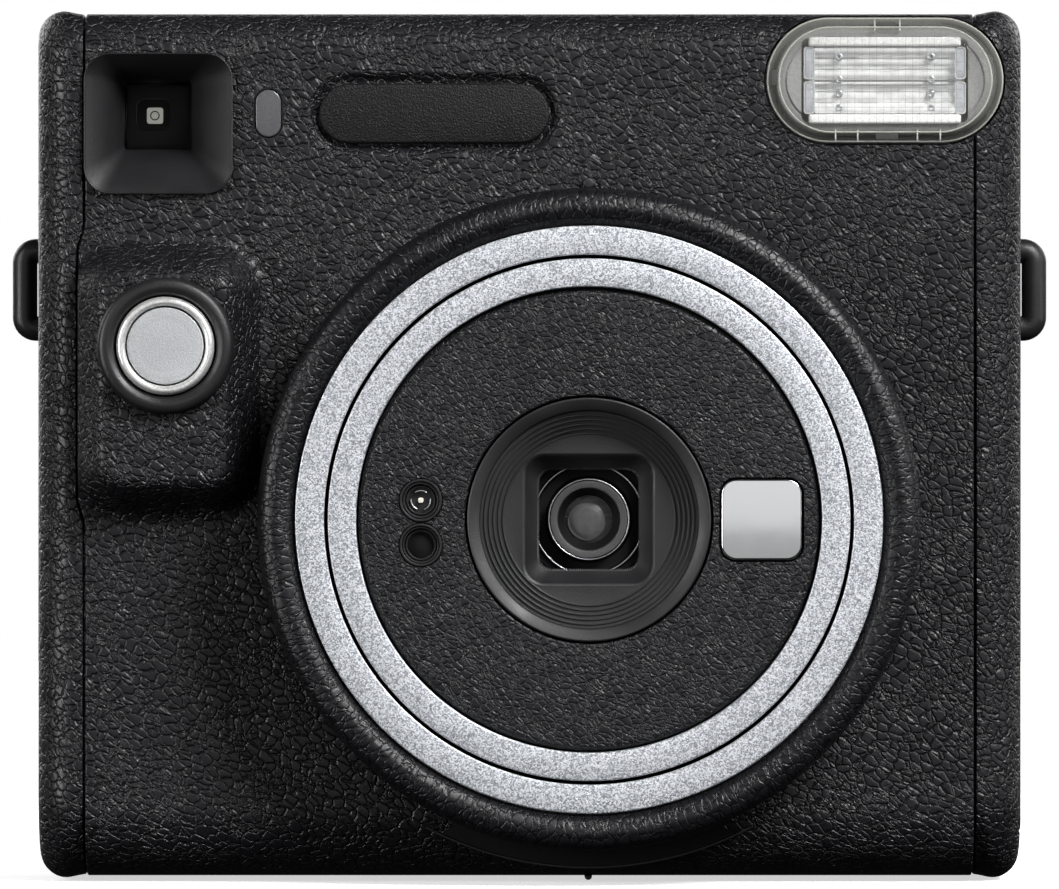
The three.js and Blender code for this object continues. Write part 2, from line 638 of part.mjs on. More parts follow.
function lensFace() {
  const { radius, front, back } = FACE;
  const disc = turned([
    [HOOD.outer + GAP, front],
    [radius - 1.6, front],
    [radius - 0.4, front + 0.4],
    [radius, front + 1.2],
    [radius, back],
    [HOOD.outer + GAP, back],
  ]);
  const pocketSide = MIRROR.side + 2 * GAP;
  const mirrorPocket = slabY(centred(MIRROR.x, 0, pocketSide, pocketSide, MIRROR.corner + GAP),
    front - EPS, back + EPS, 3);
  const port = (z) => discY(PORT.radius + GAP, front - EPS, back + EPS, PORT.x, z);
  return disc.subtract(mirrorPocket).subtract(port(PORT.upperZ)).subtract(port(PORT.lowerZ));
}

function lensHood() {
  const { outer, mouth, floor, front, floorY, back } = HOOD;
  const steps = 4;
  const outline = [[0, back], [outer, back], [outer, front + 0.5], [outer - 0.5, front], [mouth, front + 1]];
  for (let step = 1; step <= steps; step += 1) {
    const radius = mouth + ((floor - mouth) * step) / steps;
    const y = front + 1 + ((floorY - front - 1) * step) / steps;
    outline.push([outline[outline.length - 1][0], y], [radius, y]);
  }
  outline.push([0, floorY]);
  const well = loftY([
    { shape: centred(0, 0, SQUARE.mouth, SQUARE.mouth, SQUARE.corner), y: floorY - 0.01 },
    { shape: centred(0, 0, SQUARE.inner, SQUARE.inner, SQUARE.corner - 0.5), y: floorY + 2.4 },
    { shape: centred(0, 0, SQUARE.inner, SQUARE.inner, SQUARE.corner - 0.5), y: back + EPS },
  ]);
  return turned(outline).subtract(well);
}

function lensRing() {
  const { ring, glass, front, back } = FRONT_LENS;
  return turned([
    [glass + GAP, front],
    [ring - 0.4, front],
    [ring, front + 0.6],
    [ring, back - GAP],
    [glass + GAP, back - GAP],
  ], 0, 0, SMALL_ROUND);
}

// A lens with one curved face, its flat back at y.
function domedGlass(radius, rise, y, thickness) {
  const outline = [[0, y], [radius, y], [radius, y - thickness]];
  for (let i = 1; i <= 4; i += 1) {
    const angle = (i / 4) * (Math.PI / 2);
    outline.push([radius * Math.cos(angle), y - thickness - rise * Math.sin(angle)]);
  }
  outline[outline.length - 1][0] = 0;
  return turned(outline, 0, 0, SMALL_ROUND);
}

const SHUTTER_BOX = { half: 15, front: -20.5, plate: 1.4, back: -14.4 };
const BLADE = { pivotX: 10, pivotZ: -8, y0: -17.6, y1: -17 };

function shutterHousing() {
  const { half, front, plate, back } = SHUTTER_BOX;
  const cup = slabY(centred(0, 0, 2 * half, 2 * half, 3), front, back, 2)
    .subtract(slabY(centred(0, 0, 2 * half - 2, 2 * half - 2, 2.5), front + plate, back + EPS, 2))
    .subtract(discY(4.4, front - EPS, back, 0, 0));
  return cup.add(discY(0.9, front + plate - 0.2, back - 0.6, BLADE.pivotX, BLADE.pivotZ, 12));
}

function shutterBlade() {
  const { pivotX, pivotZ, y0, y1 } = BLADE;
  const boss = discY(2.4, y0, y1, pivotX, pivotZ, 16);
  const flag = discY(5.6, y0, y1, 0, 0, SMALL_ROUND);
  const arm = new THREE.BoxGeometry(Math.hypot(pivotX, pivotZ), y1 - y0, 3.4);
  arm.rotateY(Math.atan2(-pivotZ, pivotX)).translate(pivotX / 2, (y0 + y1) / 2, pivotZ / 2);
  return boss.add(flag).add(solid(arm)).subtract(discY(1.2, y0 - EPS, y1 + EPS, pivotX, pivotZ, 16));
}

function buildLens() {
  const { outer, inner, front, back } = OUTER_RING;
  add("lens_dial_grip", dialRing(), MATERIAL.leather, lens);
  add("outer_silver_ring", tubeY(outer, inner, front, back), MATERIAL.silverPaint, lens);
  add("inner_silver_ring", tubeY(INNER_RING.outer, INNER_RING.inner, INNER_RING.front, INNER_RING.back),
    MATERIAL.silverPaint, lens);
  add("barrel_tube", barrelTube(), MATERIAL.mattBlack, lens);
  add("lens_face", lensFace(), MATERIAL.leather, lens);
  add("lens_hood", lensHood(), MATERIAL.satinBlack, lens);
  add("lens_ring", lensRing(), MATERIAL.satinBlack, lens);
  add("front_lens", domedGlass(FRONT_LENS.glass, 0.9, FRONT_LENS.back - GAP, 1.2), MATERIAL.glass, lens);
  add("shutter_housing", shutterHousing(), MATERIAL.mattBlack, lens);
  add("shutter_blade", shutterBlade(), MATERIAL.steel, lens);
  const port = (z) => discY(PORT.radius, FACE.front + 0.3, FACE.back, PORT.x, z);
  add("light_meter_lens", port(PORT.upperZ), MATERIAL.glass, lens);
  add("flash_meter_lens", port(PORT.lowerZ), MATERIAL.glass, lens);
  add("selfie_mirror", slabY(centred(MIRROR.x, 0, MIRROR.side, MIRROR.side, MIRROR.corner),
    FACE.front, FACE.back - GAP, 3), MATERIAL.mirror, lens);
}

// ---------------------------------------------------------------- shutter button

const button = new THREE.Group();
button.position.set(SHUTTER.x, 0, SHUTTER.z);
camera.add(button);

function shutterCollar() {
  const { collar, bore, front } = SHUTTER;
  return turned([
    [bore, front],
    [bore + 0.8, front - 0.5],
    [collar - 0.8, front],
    [collar, front + 0.9],
    [collar, GRIP.top - GAP],
    [bore + 0.7, GRIP.top - GAP],
    [bore + 0.7, -18],
    [bore, -18],
  ], 0, 0, 24);
}

function trimRing() {
  const { trim, cap, front } = SHUTTER;
  return turned([
    [cap + GAP, front + 0.2],
    [cap + 0.8, front - 0.4],
    [trim, front + 0.2],
    [trim, -19],
    [cap + GAP, -19],
  ], 0, 0, 24);
}

function shutterButton() {
  const { cap, front } = SHUTTER;
  return turned([
    [0, front + 0.4],
    [cap - 0.5, front + 0.1],
    [cap, front + 0.6],
    [cap, front + 3.4],
    [1.8, front + 3.4],
    [1.8, -15.4],
    [0, -15.4],
  ], 0, 0, 24);
}

class SpringCurve extends THREE.Curve {
  constructor(radius, turns, y0, y1) {
    super();
    Object.assign(this, { radius, turns, y0, y1 });
  }

  getPoint(t, target = new THREE.Vector3()) {
    const angle = 2 * Math.PI * this.turns * t;
    const y = this.y0 + (this.y1 - this.y0) * t;
    return target.set(this.radius * Math.cos(angle), y, this.radius * Math.sin(angle));
  }
}

function buildShutterButton() {
  add("shutter_collar", shutterCollar(), MATERIAL.satinBlack, button);
  add("shutter_trim_ring", trimRing(), MATERIAL.chrome, button);
  add("shutter_button", shutterButton(), MATERIAL.brushed, button);
  add("button_spring", wire(new SpringCurve(3, 3, -21.6, -15), 0.3, 30, 4), MATERIAL.steel, button);
  const switchBoard = block(-6, 6, -13.6, -12.4, -8, 8).add(block(-2.5, 2.5, -13.6 - GAP, -13.4, -2.5, 2.5));
  add("shutter_switch", switchBoard, MATERIAL.board, button);
}

// ---------------------------------------------------------------- film chamber and door

function lightCone(half0, half1, y0, y1) {
  return loftY([
    { shape: centred(LENS.x, LENS.z, 2 * half1, 2 * half1, 0.5), y: y1 },
    { shape: centred(LENS.x, LENS.z, 2 * half0, 2 * half0, 0.5), y: y0 },
  ], 1);
}

function chassis() {
  const { x0, x1, z0, z1, front, back, wall } = CHAMBER;
  const half = IMAGE / 2;
  const [coneFront, mouth] = [-9.6, 10.5];
  const cone = lightCone(half + 1, mouth + 1, front + 0.2, coneFront);
  const coneBore = lightCone(half, mouth, front + wall + 0.2, coneFront - 0.2);
  const tray = block(x0, x1, front, back, z0, z1)
    .subtract(block(x0 + wall, x1 - wall, front + wall, back + EPS, z0 + wall, z1 - wall));
  const ear = block(x0, x0 + wall, 0.4, 17, z1 - 1.5, z1 + 10)
    .subtract(rodX(1.9, x0 - EPS, x0 + wall + EPS, rollerFront.y, ROLLER.z))
    .subtract(rodX(1.9, x0 - EPS, x0 + wall + EPS, rollerRear.y, ROLLER.z));
  const exit = block(LENS.x - 37, LENS.x + 37, FILM_Y - 0.6, FILM_Y + 2, z1 - wall - EPS, z1 + EPS);
  const pickSlot = block(x0 - EPS, x0 + wall + EPS, FILM_Y + 1, FILM_Y + 4, 14, 36);
  let made = tray.add(cone).subtract(coneBore).add(ear).subtract(exit).subtract(pickSlot);
  for (const { x, y } of caseScrewPlaces()) {
    const boss = rodZ(2.4, 2.9, z0 + 1, x, y, 16);
    made = made.add(boss).subtract(rodZ(1.2, 2, 8, x, y, 16));
  }
  return made;
}

function filmWindowOutline(grow) {
  const { x, z, width, height, corner } = FILM_WINDOW;
  return centred(x, z, width + 2 * grow, height + 2 * grow, grow > 0 ? corner + 0.2 : corner);
}

function filmDoor() {
  const { x0, x1, z0, z1, inner, outer, corner } = DOOR;
  const middle = [(x0 + x1) / 2, (z0 + z1) / 2];
  const skin = loftY([
    { shape: centred(...middle, x1 - x0, z1 - z0, corner), y: inner },
    { shape: centred(...middle, x1 - x0, z1 - z0, corner), y: outer - 1.2 },
    { shape: centred(...middle, x1 - x0 - 2.4, z1 - z0 - 2.4, corner - 1), y: outer },
  ]);
  const hollow = slabY(centred(...middle, x1 - x0 - 4, z1 - z0 - 4, corner - 2), inner - EPS, outer - 1.8);
  const { z: lipZ, width, height, wall } = DOOR_LIP;
  const lip = slabY(centred(LENS.x, lipZ, width, height, 3), inner - 0.6, outer - 1.5)
    .subtract(slabY(centred(LENS.x, lipZ, width - 2 * wall, height - 2 * wall, 2),
      inner - 2 * EPS, outer - 1.8));
  const window = slabY(filmWindowOutline(GAP), inner - EPS, outer + EPS);
  let made = skin.subtract(hollow).add(lip).subtract(window);
  for (const [low, high] of DOOR_KNUCKLES) made = made.add(knuckle(low, high, x1 - 2));
  return made;
}

// A bent spring strip that presses the film pack forward: flat at its ends, pushed out in the middle.
function packSpring() {
  const [rear, thickness, push] = [DOOR.inner, 0.4, 3.5];
  const bends = [[0, 30], [0, 36], [push, 50], [push, 56], [0, 70], [0, 76]];
  const back = bends.map(([out, z]) => [rear - out, z]);
  const front = bends.map(([out, z]) => [rear - out - thickness, z]).reverse();
  const shape = new THREE.Shape([...back, ...front].map(([y, z]) => new THREE.Vector2(y, z)));
  return slabX(shape, LENS.x + 8, LENS.x + 20, 1);
}

function doorLatch() {
  const rear = BODY.rear + GAP;
  const { x, z, width, height, stemWidth } = LATCH;
  const pad = loftY([
    { shape: centred(x, z, width, height, 2), y: rear },
    { shape: centred(x, z, width - 0.6, height - 0.6, 2), y: rear + 2 },
    { shape: centred(x, z, width - 2, height - 2, 1.6), y: rear + 2.6 },
  ]);
  const ribHalf = width / 2 - 1.6;
  const ribs = [-6, -3, 0, 3, 6].map((dz) =>
    block(x - ribHalf, x + ribHalf, rear + 2.2, rear + 3.2, z + dz, z + dz + 1));
  const stem = block(x - stemWidth / 2, x + stemWidth / 2, 21.5, rear + 0.5, z - 4, z + 4);
  const catchPlate = block(x - 2, DOOR.x0 + 0.1, 20.4, 22, z - 7, z + 7);
  return ribs.reduce((made, rib) => made.add(rib), pad).add(stem).add(catchPlate);
}

function exitFlap() {
  const { y, z, front, half, ear } = FLAP;
  return block(LENS.x - half, LENS.x + half, front, y, z - 0.4, z + 0.6)
    .add(rodX(0.95, LENS.x - ear - 1, LENS.x + ear + 1, y, z, 12));
}

function filmPick() {
  const { x0 } = CHAMBER;
  const strip = block(x0 - 1.8, x0 - 0.6, FILM_Y + 0.6, FILM_Y + 4.4, 12, 48);
  const hook = block(x0 - 1.8, x0 + 3, FILM_Y + 1.4, FILM_Y + 3.4, 16, 18);
  return strip.add(hook);
}

function counterDial() {
  const { x, dialZ: z, dialRadius: radius } = COUNTER;
  let dial = discY(radius, 20.4, 21.6, x, z, 24).add(discY(2.2, 17.5, 20.6, x, z, 12));
  const notches = 12;
  for (let i = 0; i < notches; i += 1) {
    const angle = (2 * Math.PI * i) / notches;
    const [notchX, notchZ] = [x + radius * Math.cos(angle), z + radius * Math.sin(angle)];
    dial = dial.subtract(discY(0.7, 20, 22, notchX, notchZ, 6));
  }
  return dial;
}

function buildFilmParts() {
  add("chassis", chassis(), MATERIAL.innerPlastic);
  add("film_door", filmDoor(), MATERIAL.leather);
  add("film_check_window", slabY(filmWindowOutline(0), DOOR.outer - 1.6, DOOR.outer - 0.3), MATERIAL.glass);
  add("pack_spring", packSpring(), MATERIAL.steel);
  add("hinge_pin", rodZ(HINGE.pin, 12.5, 95.5, HINGE.x, HINGE.y, 12), MATERIAL.steel);
  add("door_latch", doorLatch(), MATERIAL.satinBlack);
  add("exit_flap", exitFlap(), MATERIAL.satinBlack);
  add("film_pick", filmPick(), MATERIAL.steel);
  add("counter_dial", counterDial(), MATERIAL.white);
  const { x, windowZ, width, height, corner } = COUNTER;
  add("counter_window", slabY(centred(x, windowZ, width, height, corner), BODY.rear - 1.6, BODY.rear - 0.2),
    MATERIAL.glass);
}

// ---------------------------------------------------------------- drive and electrics

function roller(wheel) {
  const { radius, x0, x1 } = ROLLER;
  return rodX(radius, x0, x1, wheel.y, wheel.z)
    .add(rodX(1.5, CHAMBER.x0 + 0.2, GEAR_X.x1, wheel.y, wheel.z, 12))
    .add(gearX(wheel, GEAR_X.x0, GEAR_X.x1));
}

function gearBracket() {
  const [x0, x1] = [CHAMBER.x1 + GAP, GEAR_X.x0 - GAP];
  const shape = roundedShape(-12.2, 16.6, 77.6, 112, 2);
  const bore = ({ y, z }, radius) => rodX(radius, x0 - EPS, x1 + EPS, y, z);
  return slabX(shape, x0, x1, 2)
    .subtract(block(x0 - EPS, x1 + EPS, -14, -8.4, 100, 114))
    .subtract(bore(rollerFront, 1.8))
    .subtract(bore(rollerRear, 1.8))
    .subtract(bore(pinion, 3.4))
    .add(rodX(1.2, x0 + 0.2, GEAR_X.x1 + 0.6, idler.y, idler.z, 12));
}

function idlerGear() {
  const wheel = gearX(idler, GEAR_X.x0, GEAR_X.x1 - 0.6);
  return wheel.subtract(rodX(1.5, GEAR_X.x0 - EPS, GEAR_X.x1 + EPS, idler.y, idler.z, 12));
}

function motorPinion() {
  return gearX(pinion, GEAR_X.x0, GEAR_X.x1 - 0.4)
    .add(rodX(0.9, MOTOR.x1 + 0.9, GEAR_X.x1, pinion.y, pinion.z, 12));
}

function driveMotor() {
  return rodX(MOTOR.radius, MOTOR.x0, MOTOR.x1, pinion.y, pinion.z, 20)
    .add(rodX(3, MOTOR.x1 - 0.2, MOTOR.x1 + 0.6, pinion.y, pinion.z));
}

function batteryCell(z) {
  const { radius, length, x, y } = CELL;
  const body = rodX(radius, 0, length - 1.2, 0, 0).add(rodX(3, length - 1.4, length, 0, 0, 16));
  const mesh = new THREE.Mesh(toGeometry(body), MATERIAL.cell);
  mesh.position.set(x, y, z);
  return mesh;
}

function batteryHolder() {
  const { radius, x, y, length, lowZ, highZ } = CELL;
  const [x1, wall] = [x + length - 3, 1];
  const outer = block(x - 1.4, x1, y - radius - GAP - wall, y + 3, lowZ - radius - 1.4, highZ + radius + 1.4);
  const bays = [lowZ, highZ].map((z) => rodX(radius + GAP, x - GAP, x1 + EPS, y, z, 32));
  return outer.subtract(bays[0]).subtract(bays[1]);
}

function buildDrive() {
  add("roller_front", roller(rollerFront), MATERIAL.steel);
  add("roller_rear", roller(rollerRear), MATERIAL.steel);
  add("gear_bracket", gearBracket(), MATERIAL.innerPlastic);
  add("idler_gear", idlerGear(), MATERIAL.gear);
  add("motor_pinion", motorPinion(), MATERIAL.gear);
  add("drive_motor", driveMotor(), MATERIAL.steel);
  for (const [name, z] of [["battery_lower", CELL.lowZ], ["battery_upper", CELL.highZ]]) {
    const cell = batteryCell(z);
    cell.name = name;
    camera.add(cell);
  }
  add("battery_holder", batteryHolder(), MATERIAL.innerPlastic);
  const { radius, x, y, z0, z1 } = CAPACITOR;
  add("flash_capacitor", rodZ(radius, z0, z1, x, y), MATERIAL.cell);
  add("circuit_board", block(-38, 28, -13.9, -12.3, 86, 99), MATERIAL.board);
}

buildCasing();
buildFrontTrim();
buildLens();
buildShutterButton();
buildFilmParts();
buildDrive();

export default camera;
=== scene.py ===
import math

import bmesh
import bpy
import mathutils
import numpy as np
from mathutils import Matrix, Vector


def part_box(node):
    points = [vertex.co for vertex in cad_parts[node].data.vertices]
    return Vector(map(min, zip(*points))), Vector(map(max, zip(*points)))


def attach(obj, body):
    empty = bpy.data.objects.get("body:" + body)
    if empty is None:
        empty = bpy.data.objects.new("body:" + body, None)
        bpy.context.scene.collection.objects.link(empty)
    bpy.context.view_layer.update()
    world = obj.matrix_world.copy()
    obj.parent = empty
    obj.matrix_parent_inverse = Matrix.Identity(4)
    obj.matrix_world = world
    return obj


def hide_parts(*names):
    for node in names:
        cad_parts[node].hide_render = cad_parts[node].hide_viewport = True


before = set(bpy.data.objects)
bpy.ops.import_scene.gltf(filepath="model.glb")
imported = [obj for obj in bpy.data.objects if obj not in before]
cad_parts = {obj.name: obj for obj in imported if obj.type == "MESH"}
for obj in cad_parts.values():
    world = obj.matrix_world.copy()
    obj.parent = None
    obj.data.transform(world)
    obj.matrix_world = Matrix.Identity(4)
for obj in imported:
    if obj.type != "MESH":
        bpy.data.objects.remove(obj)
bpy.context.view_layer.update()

# The visual model of a square-format instant camera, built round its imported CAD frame.
# Frame: +Z up, the lens looks along -Y, +X is to the right of someone facing the lens.
# Lengths are millimetres here; mesh_object() is where they become metres.

MM = 0.001


def limits(node):
    """A CAD node's lowest and highest corner in millimetres."""
    low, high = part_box(node)
    return np.array(low) / MM, np.array(high) / MM


def middle(node):
    low, high = limits(node)
    return (low + high) / 2


# ---------------------------------------------------------------- sizes from the frame

SHELL_LOW, SHELL_HIGH = limits("front_shell")
COVER_LOW, COVER_HIGH = limits("right_end_cover")
GAP = COVER_LOW[0] - SHELL_HIGH[0]
SEAM = SHELL_HIGH[0]
SIDE = COVER_HIGH[0]
FRONT, REAR = COVER_LOW[1], COVER_HIGH[1]
BOTTOM, TOP = SHELL_LOW[2], SHELL_HIGH[2]
PARTING = SHELL_HIGH[1] + GAP / 2

LENS_X, _, LENS_Z = middle("outer_silver_ring")
SHUTTER_X, _, SHUTTER_Z = middle("shutter_collar")
FLASH_X, _, FLASH_Z = middle("flash_cover")
PLATE_X, _, PLATE_Z = middle("name_plate")
SENSOR_X, _, SENSOR_Z = middle("light_sensor_window")
FINDER_X, FINDER_Z = -50.3, 102.7
EYE_X, _, EYE_Z = middle("viewfinder_front_lens")
DOOR_LOW, DOOR_HIGH = limits("film_door")
HINGE_X, HINGE_Y, _ = middle("hinge_pin")
LUG_Z = middle("strap_lug_right")[2]

# ---------------------------------------------------------------- sizes of the casing

WALL = 2.0
GRID = 0.75  # spacing of the casing's mesh
EDGE_STEPS = 4  # faces round a plate's edge
BAR_SIDES = 16
TOP_RADIUS = 5.5
BOTTOM_RADIUS = 12.5
REAR_RADIUS = 5.0
SIDE_RADIUS = 3.6
SIDE_FRONT_RADIUS = 6.0
SEAM_EDGE = 0.25  # rounding of the casing's edges at the seams
BOW = 0.9  # how far the left seam swings out round the grip
COLLAR_RADIUS = 47.4
BORE_RADIUS = 36.2
GRIP_X = SHUTTER_X + 0.1
GRIP_Z = SHUTTER_Z - 4.4
GRIP_WIDTH = 24.4
GRIP_HEIGHT = 36.1
GRIP_SLOPE = 4.4
GRIP_CORNER = 6.5
GRIP_WELT = 0.28  # height of the soft ridge round the grip's foot
LUG_POCKET_FLOOR = (7.2, 14.6)
LUG_POCKET_MOUTH = (19, 15.2)


# ---------------------------------------------------------------- outlines

def smooth(share):
    """A ramp from 0 to 1 that starts and ends level."""
    share = np.clip(share, 0, 1)
    return share * share * (3 - 2 * share)


def corner_arc(before, corner, after, radius, steps):
    """The points that round one corner of a polygon."""
    towards = before - corner
    away = after - corner
    length_in = np.linalg.norm(towards)
    length_out = np.linalg.norm(away)
    towards = towards / length_in
    away = away / length_out
    half = math.acos(np.clip(towards @ away, -1, 1)) / 2
    if radius <= 0 or half > 1.56 or half < 0.01:
        return [corner]
    cut = min(radius / math.tan(half), 0.495 * length_in, 0.495 * length_out)
    radius = cut * math.tan(half)
    centre = corner + (towards + away) / np.linalg.norm(towards + away) * radius / math.sin(half)
    start = corner + towards * cut - centre
    end = corner + away * cut - centre
    sweep = math.pi - 2 * half
    shares = np.linspace(0, 1, steps + 1)
    return [
        centre + (math.sin((1 - t) * sweep) * start + math.sin(t * sweep) * end) / math.sin(sweep)
        for t in shares
    ]


def filleted(corners, steps=5, closed=True):
    """A polygon or open line of (a, b, radius) corners, each corner rounded to its radius."""
    places = np.array([corner[:2] for corner in corners], float)
    count = len(places)
    points = []
    for i, corner in enumerate(corners):
        at_end = not closed and i in (0, count - 1)
        radius = 0 if at_end or len(corner) < 3 else corner[2]
        points += corner_arc(places[i - 1], places[i], places[(i + 1) % count], radius, steps)
    return np.array(points)


def densified(path, longest):
    """The open line with points added so that no step is longer than asked."""
    points = [path[0]]
    for start, end in zip(path[:-1], path[1:]):
        count = max(1, math.ceil(np.linalg.norm(end - start) / longest))
        points += [start + (end - start) * i / count for i in range(1, count + 1)]
    return np.array(points)


def resampled(outline, count):
    """The closed outline as a fixed number of evenly spaced points."""
    loop = np.vstack([outline, outline[:1]])
    travelled = np.concatenate([[0], np.cumsum(np.linalg.norm(np.diff(loop, axis=0), axis=1))])
    wanted = np.linspace(0, travelled[-1], count, endpoint=False)
    return np.column_stack([np.interp(wanted, travelled, loop[:, i]) for i in (0, 1)])


def offset(path, distance):
    """The open line moved to its left-hand side."""
    along = np.gradient(path, axis=0)
    along = along / np.linalg.norm(along, axis=1)[:, None]
    return path + distance * np.column_stack([-along[:, 1], along[:, 0]])


def rounded_rect(a, b, width, height, radius, steps=8):
    """A rectangle with round corners about (a, b)."""
    radius = min(radius, width / 2, height / 2)
    points = []
    for quarter, (side_a, side_b) in enumerate([(1, 1), (-1, 1), (-1, -1), (1, -1)]):
        angles = np.radians(90 * quarter + np.linspace(0, 90, steps + 1))
        centre_a = a + side_a * (width / 2 - radius)
        centre_b = b + side_b * (height / 2 - radius)
        points.append(np.column_stack([
            centre_a + radius * np.cos(angles),
            centre_b + radius * np.sin(angles),
        ]))
    return np.vstack(points)


def edge_levels(front, back, front_edge, back_edge=0.0):
    """(inset, level) pairs that round a plate's front and back edges."""
    inwards = 1 if back > front else -1
    quarter = np.linspace(0, math.pi / 2, EDGE_STEPS + 1)
    levels = [
        (front_edge * (1 - math.sin(a)), front + inwards * front_edge * (1 - math.cos(a)))
        for a in quarter
    ]
    if back_edge == 0:
        return levels + [(0, back)]
    return levels + [
        (back_edge * (1 - math.cos(a)), back - inwards * back_edge * (1 - math.sin(a)))
        for a in quarter
    ]


# ---------------------------------------------------------------- solids

def mesh_object(points, faces):
    """A new object from millimetre points, with doubled points merged and faces turned outwards."""
    mesh = bpy.data.meshes.new("raw")
    mesh.from_pydata((np.asarray(points) * MM).tolist(), [], faces)
    edit = bmesh.new()
    edit.from_mesh(mesh)
    bmesh.ops.remove_doubles(edit, verts=edit.verts, dist=2e-6)
    bmesh.ops.recalc_face_normals(edit, faces=edit.faces)
    edit.to_mesh(mesh)
    edit.free()
    made = bpy.data.objects.new("raw", mesh)
    bpy.context.scene.collection.objects.link(made)
    return made


def skinned(rings, closed=False):
    """A solid through rings of points. The ends are capped, or closed joins them to each other."""
    rings = np.asarray(rings, float)
    count, size = rings.shape[:2]
    faces = []
    for i in range(count if closed else count - 1):
        here = i * size
        there = (i + 1) % count * size
        for j in range(size):
            k = (j + 1) % size
            faces.append((here + j, here + k, there + k, there + j))
    if not closed:
        faces.append(tuple(range(size - 1, -1, -1)))
        faces.append(tuple(range((count - 1) * size, count * size)))
    return mesh_object(rings.reshape(-1, 3), faces)


def placed(outline, level, axis="y"):
    """A flat outline as 3-D points: its two numbers are the axes that are left, in order."""
    level = np.full(len(outline), level)
    a, b = outline[:, 0], outline[:, 1]
    order = {"x": (level, a, b), "y": (a, level, b), "z": (a, b, level)}[axis]
    return np.column_stack(order)


def lofted(sections, axis="y", closed=False):
    """A solid through (outline, level) sections along one axis."""
    return skinned([placed(outline, level, axis) for outline, level in sections], closed)


def turned(outline, a, b, axis="y", facets=96):
    """A closed outline of (radius, level) points turned about a line along one axis."""
    angles = np.linspace(0, 2 * math.pi, facets, endpoint=False)
    rings = []
    for angle in angles:
        circle = np.column_stack([
            a + outline[:, 0] * math.cos(angle),
            b + outline[:, 0] * math.sin(angle),
        ])
        order = {
            "x": (outline[:, 1], circle[:, 0], circle[:, 1]),
            "y": (circle[:, 0], outline[:, 1], circle[:, 1]),
            "z": (circle[:, 0], circle[:, 1], outline[:, 1]),
        }[axis]
        rings.append(np.column_stack(order))
    return skinned(rings, closed=True)


def plate(x, z, width, height, corner, front, back, edge=0.3, back_edge=0.0, steps=8, axis="y"):
    """A plate with round corners and rounded front edges; front is its lower level."""
    sections = [
        (rounded_rect(x, z, width - 2 * inset, height - 2 * inset, max(corner - inset, 0.05), steps), level)
        for inset, level in edge_levels(front, back, edge, back_edge)
    ]
    return lofted(sections, axis)


def rod(a, b, radius, low, high, edge=0.2, axis="y", facets=32, bore=0.0):
    """A round bar or a tube with rounded ends along one axis."""
    corners = [(bore, low), (radius, low, edge), (radius, high, edge), (bore, high)]
    return turned(filleted(corners, 3), a, b, axis, facets)


def swept(path, radius):
    """A closed round bar along a closed path in the XZ plane at Y 0."""
    angles = np.linspace(0, 2 * math.pi, BAR_SIDES, endpoint=False)
    along = np.roll(path, -1, axis=0) - np.roll(path, 1, axis=0)
    along = along / np.linalg.norm(along, axis=1)[:, None]
    outward = np.column_stack([along[:, 1], -along[:, 0]])
    rings = [
        np.column_stack([
            x + radius * np.cos(angles) * nx,
            radius * np.sin(angles),
            z + radius * np.cos(angles) * nz,
        ])
        for (x, z), (nx, nz) in zip(path, outward)
    ]
    return skinned(rings, closed=True)


def combine(target, operation, *others, solver="MANIFOLD"):
    """Joins, cuts or intersects target with the other solids, which are used up."""
    for other in others:
        modifier = target.modifiers.new("combine", "BOOLEAN")
        modifier.operation = operation
        modifier.object = other
        modifier.solver = solver
    bpy.context.view_layer.update()
    evaluated = target.evaluated_get(bpy.context.evaluated_depsgraph_get())
    made = bpy.data.meshes.new_from_object(evaluated)
    target.modifiers.clear()
    target.data = made
    for other in others:
        bpy.data.objects.remove(other)
    return target


def cut(target, *others):
    return combine(target, "DIFFERENCE", *others)


def join(target, *others):
    return combine(target, "UNION", *others)


def mirrored_x(points):
    return np.asarray(points) * (-1, 1, 1)


# ---------------------------------------------------------------- materials

MATERIALS = {}
GRAIN_TURN = 32  # the leather's cells run down to the right by this many degrees
GRAIN_STRETCH = 1.5


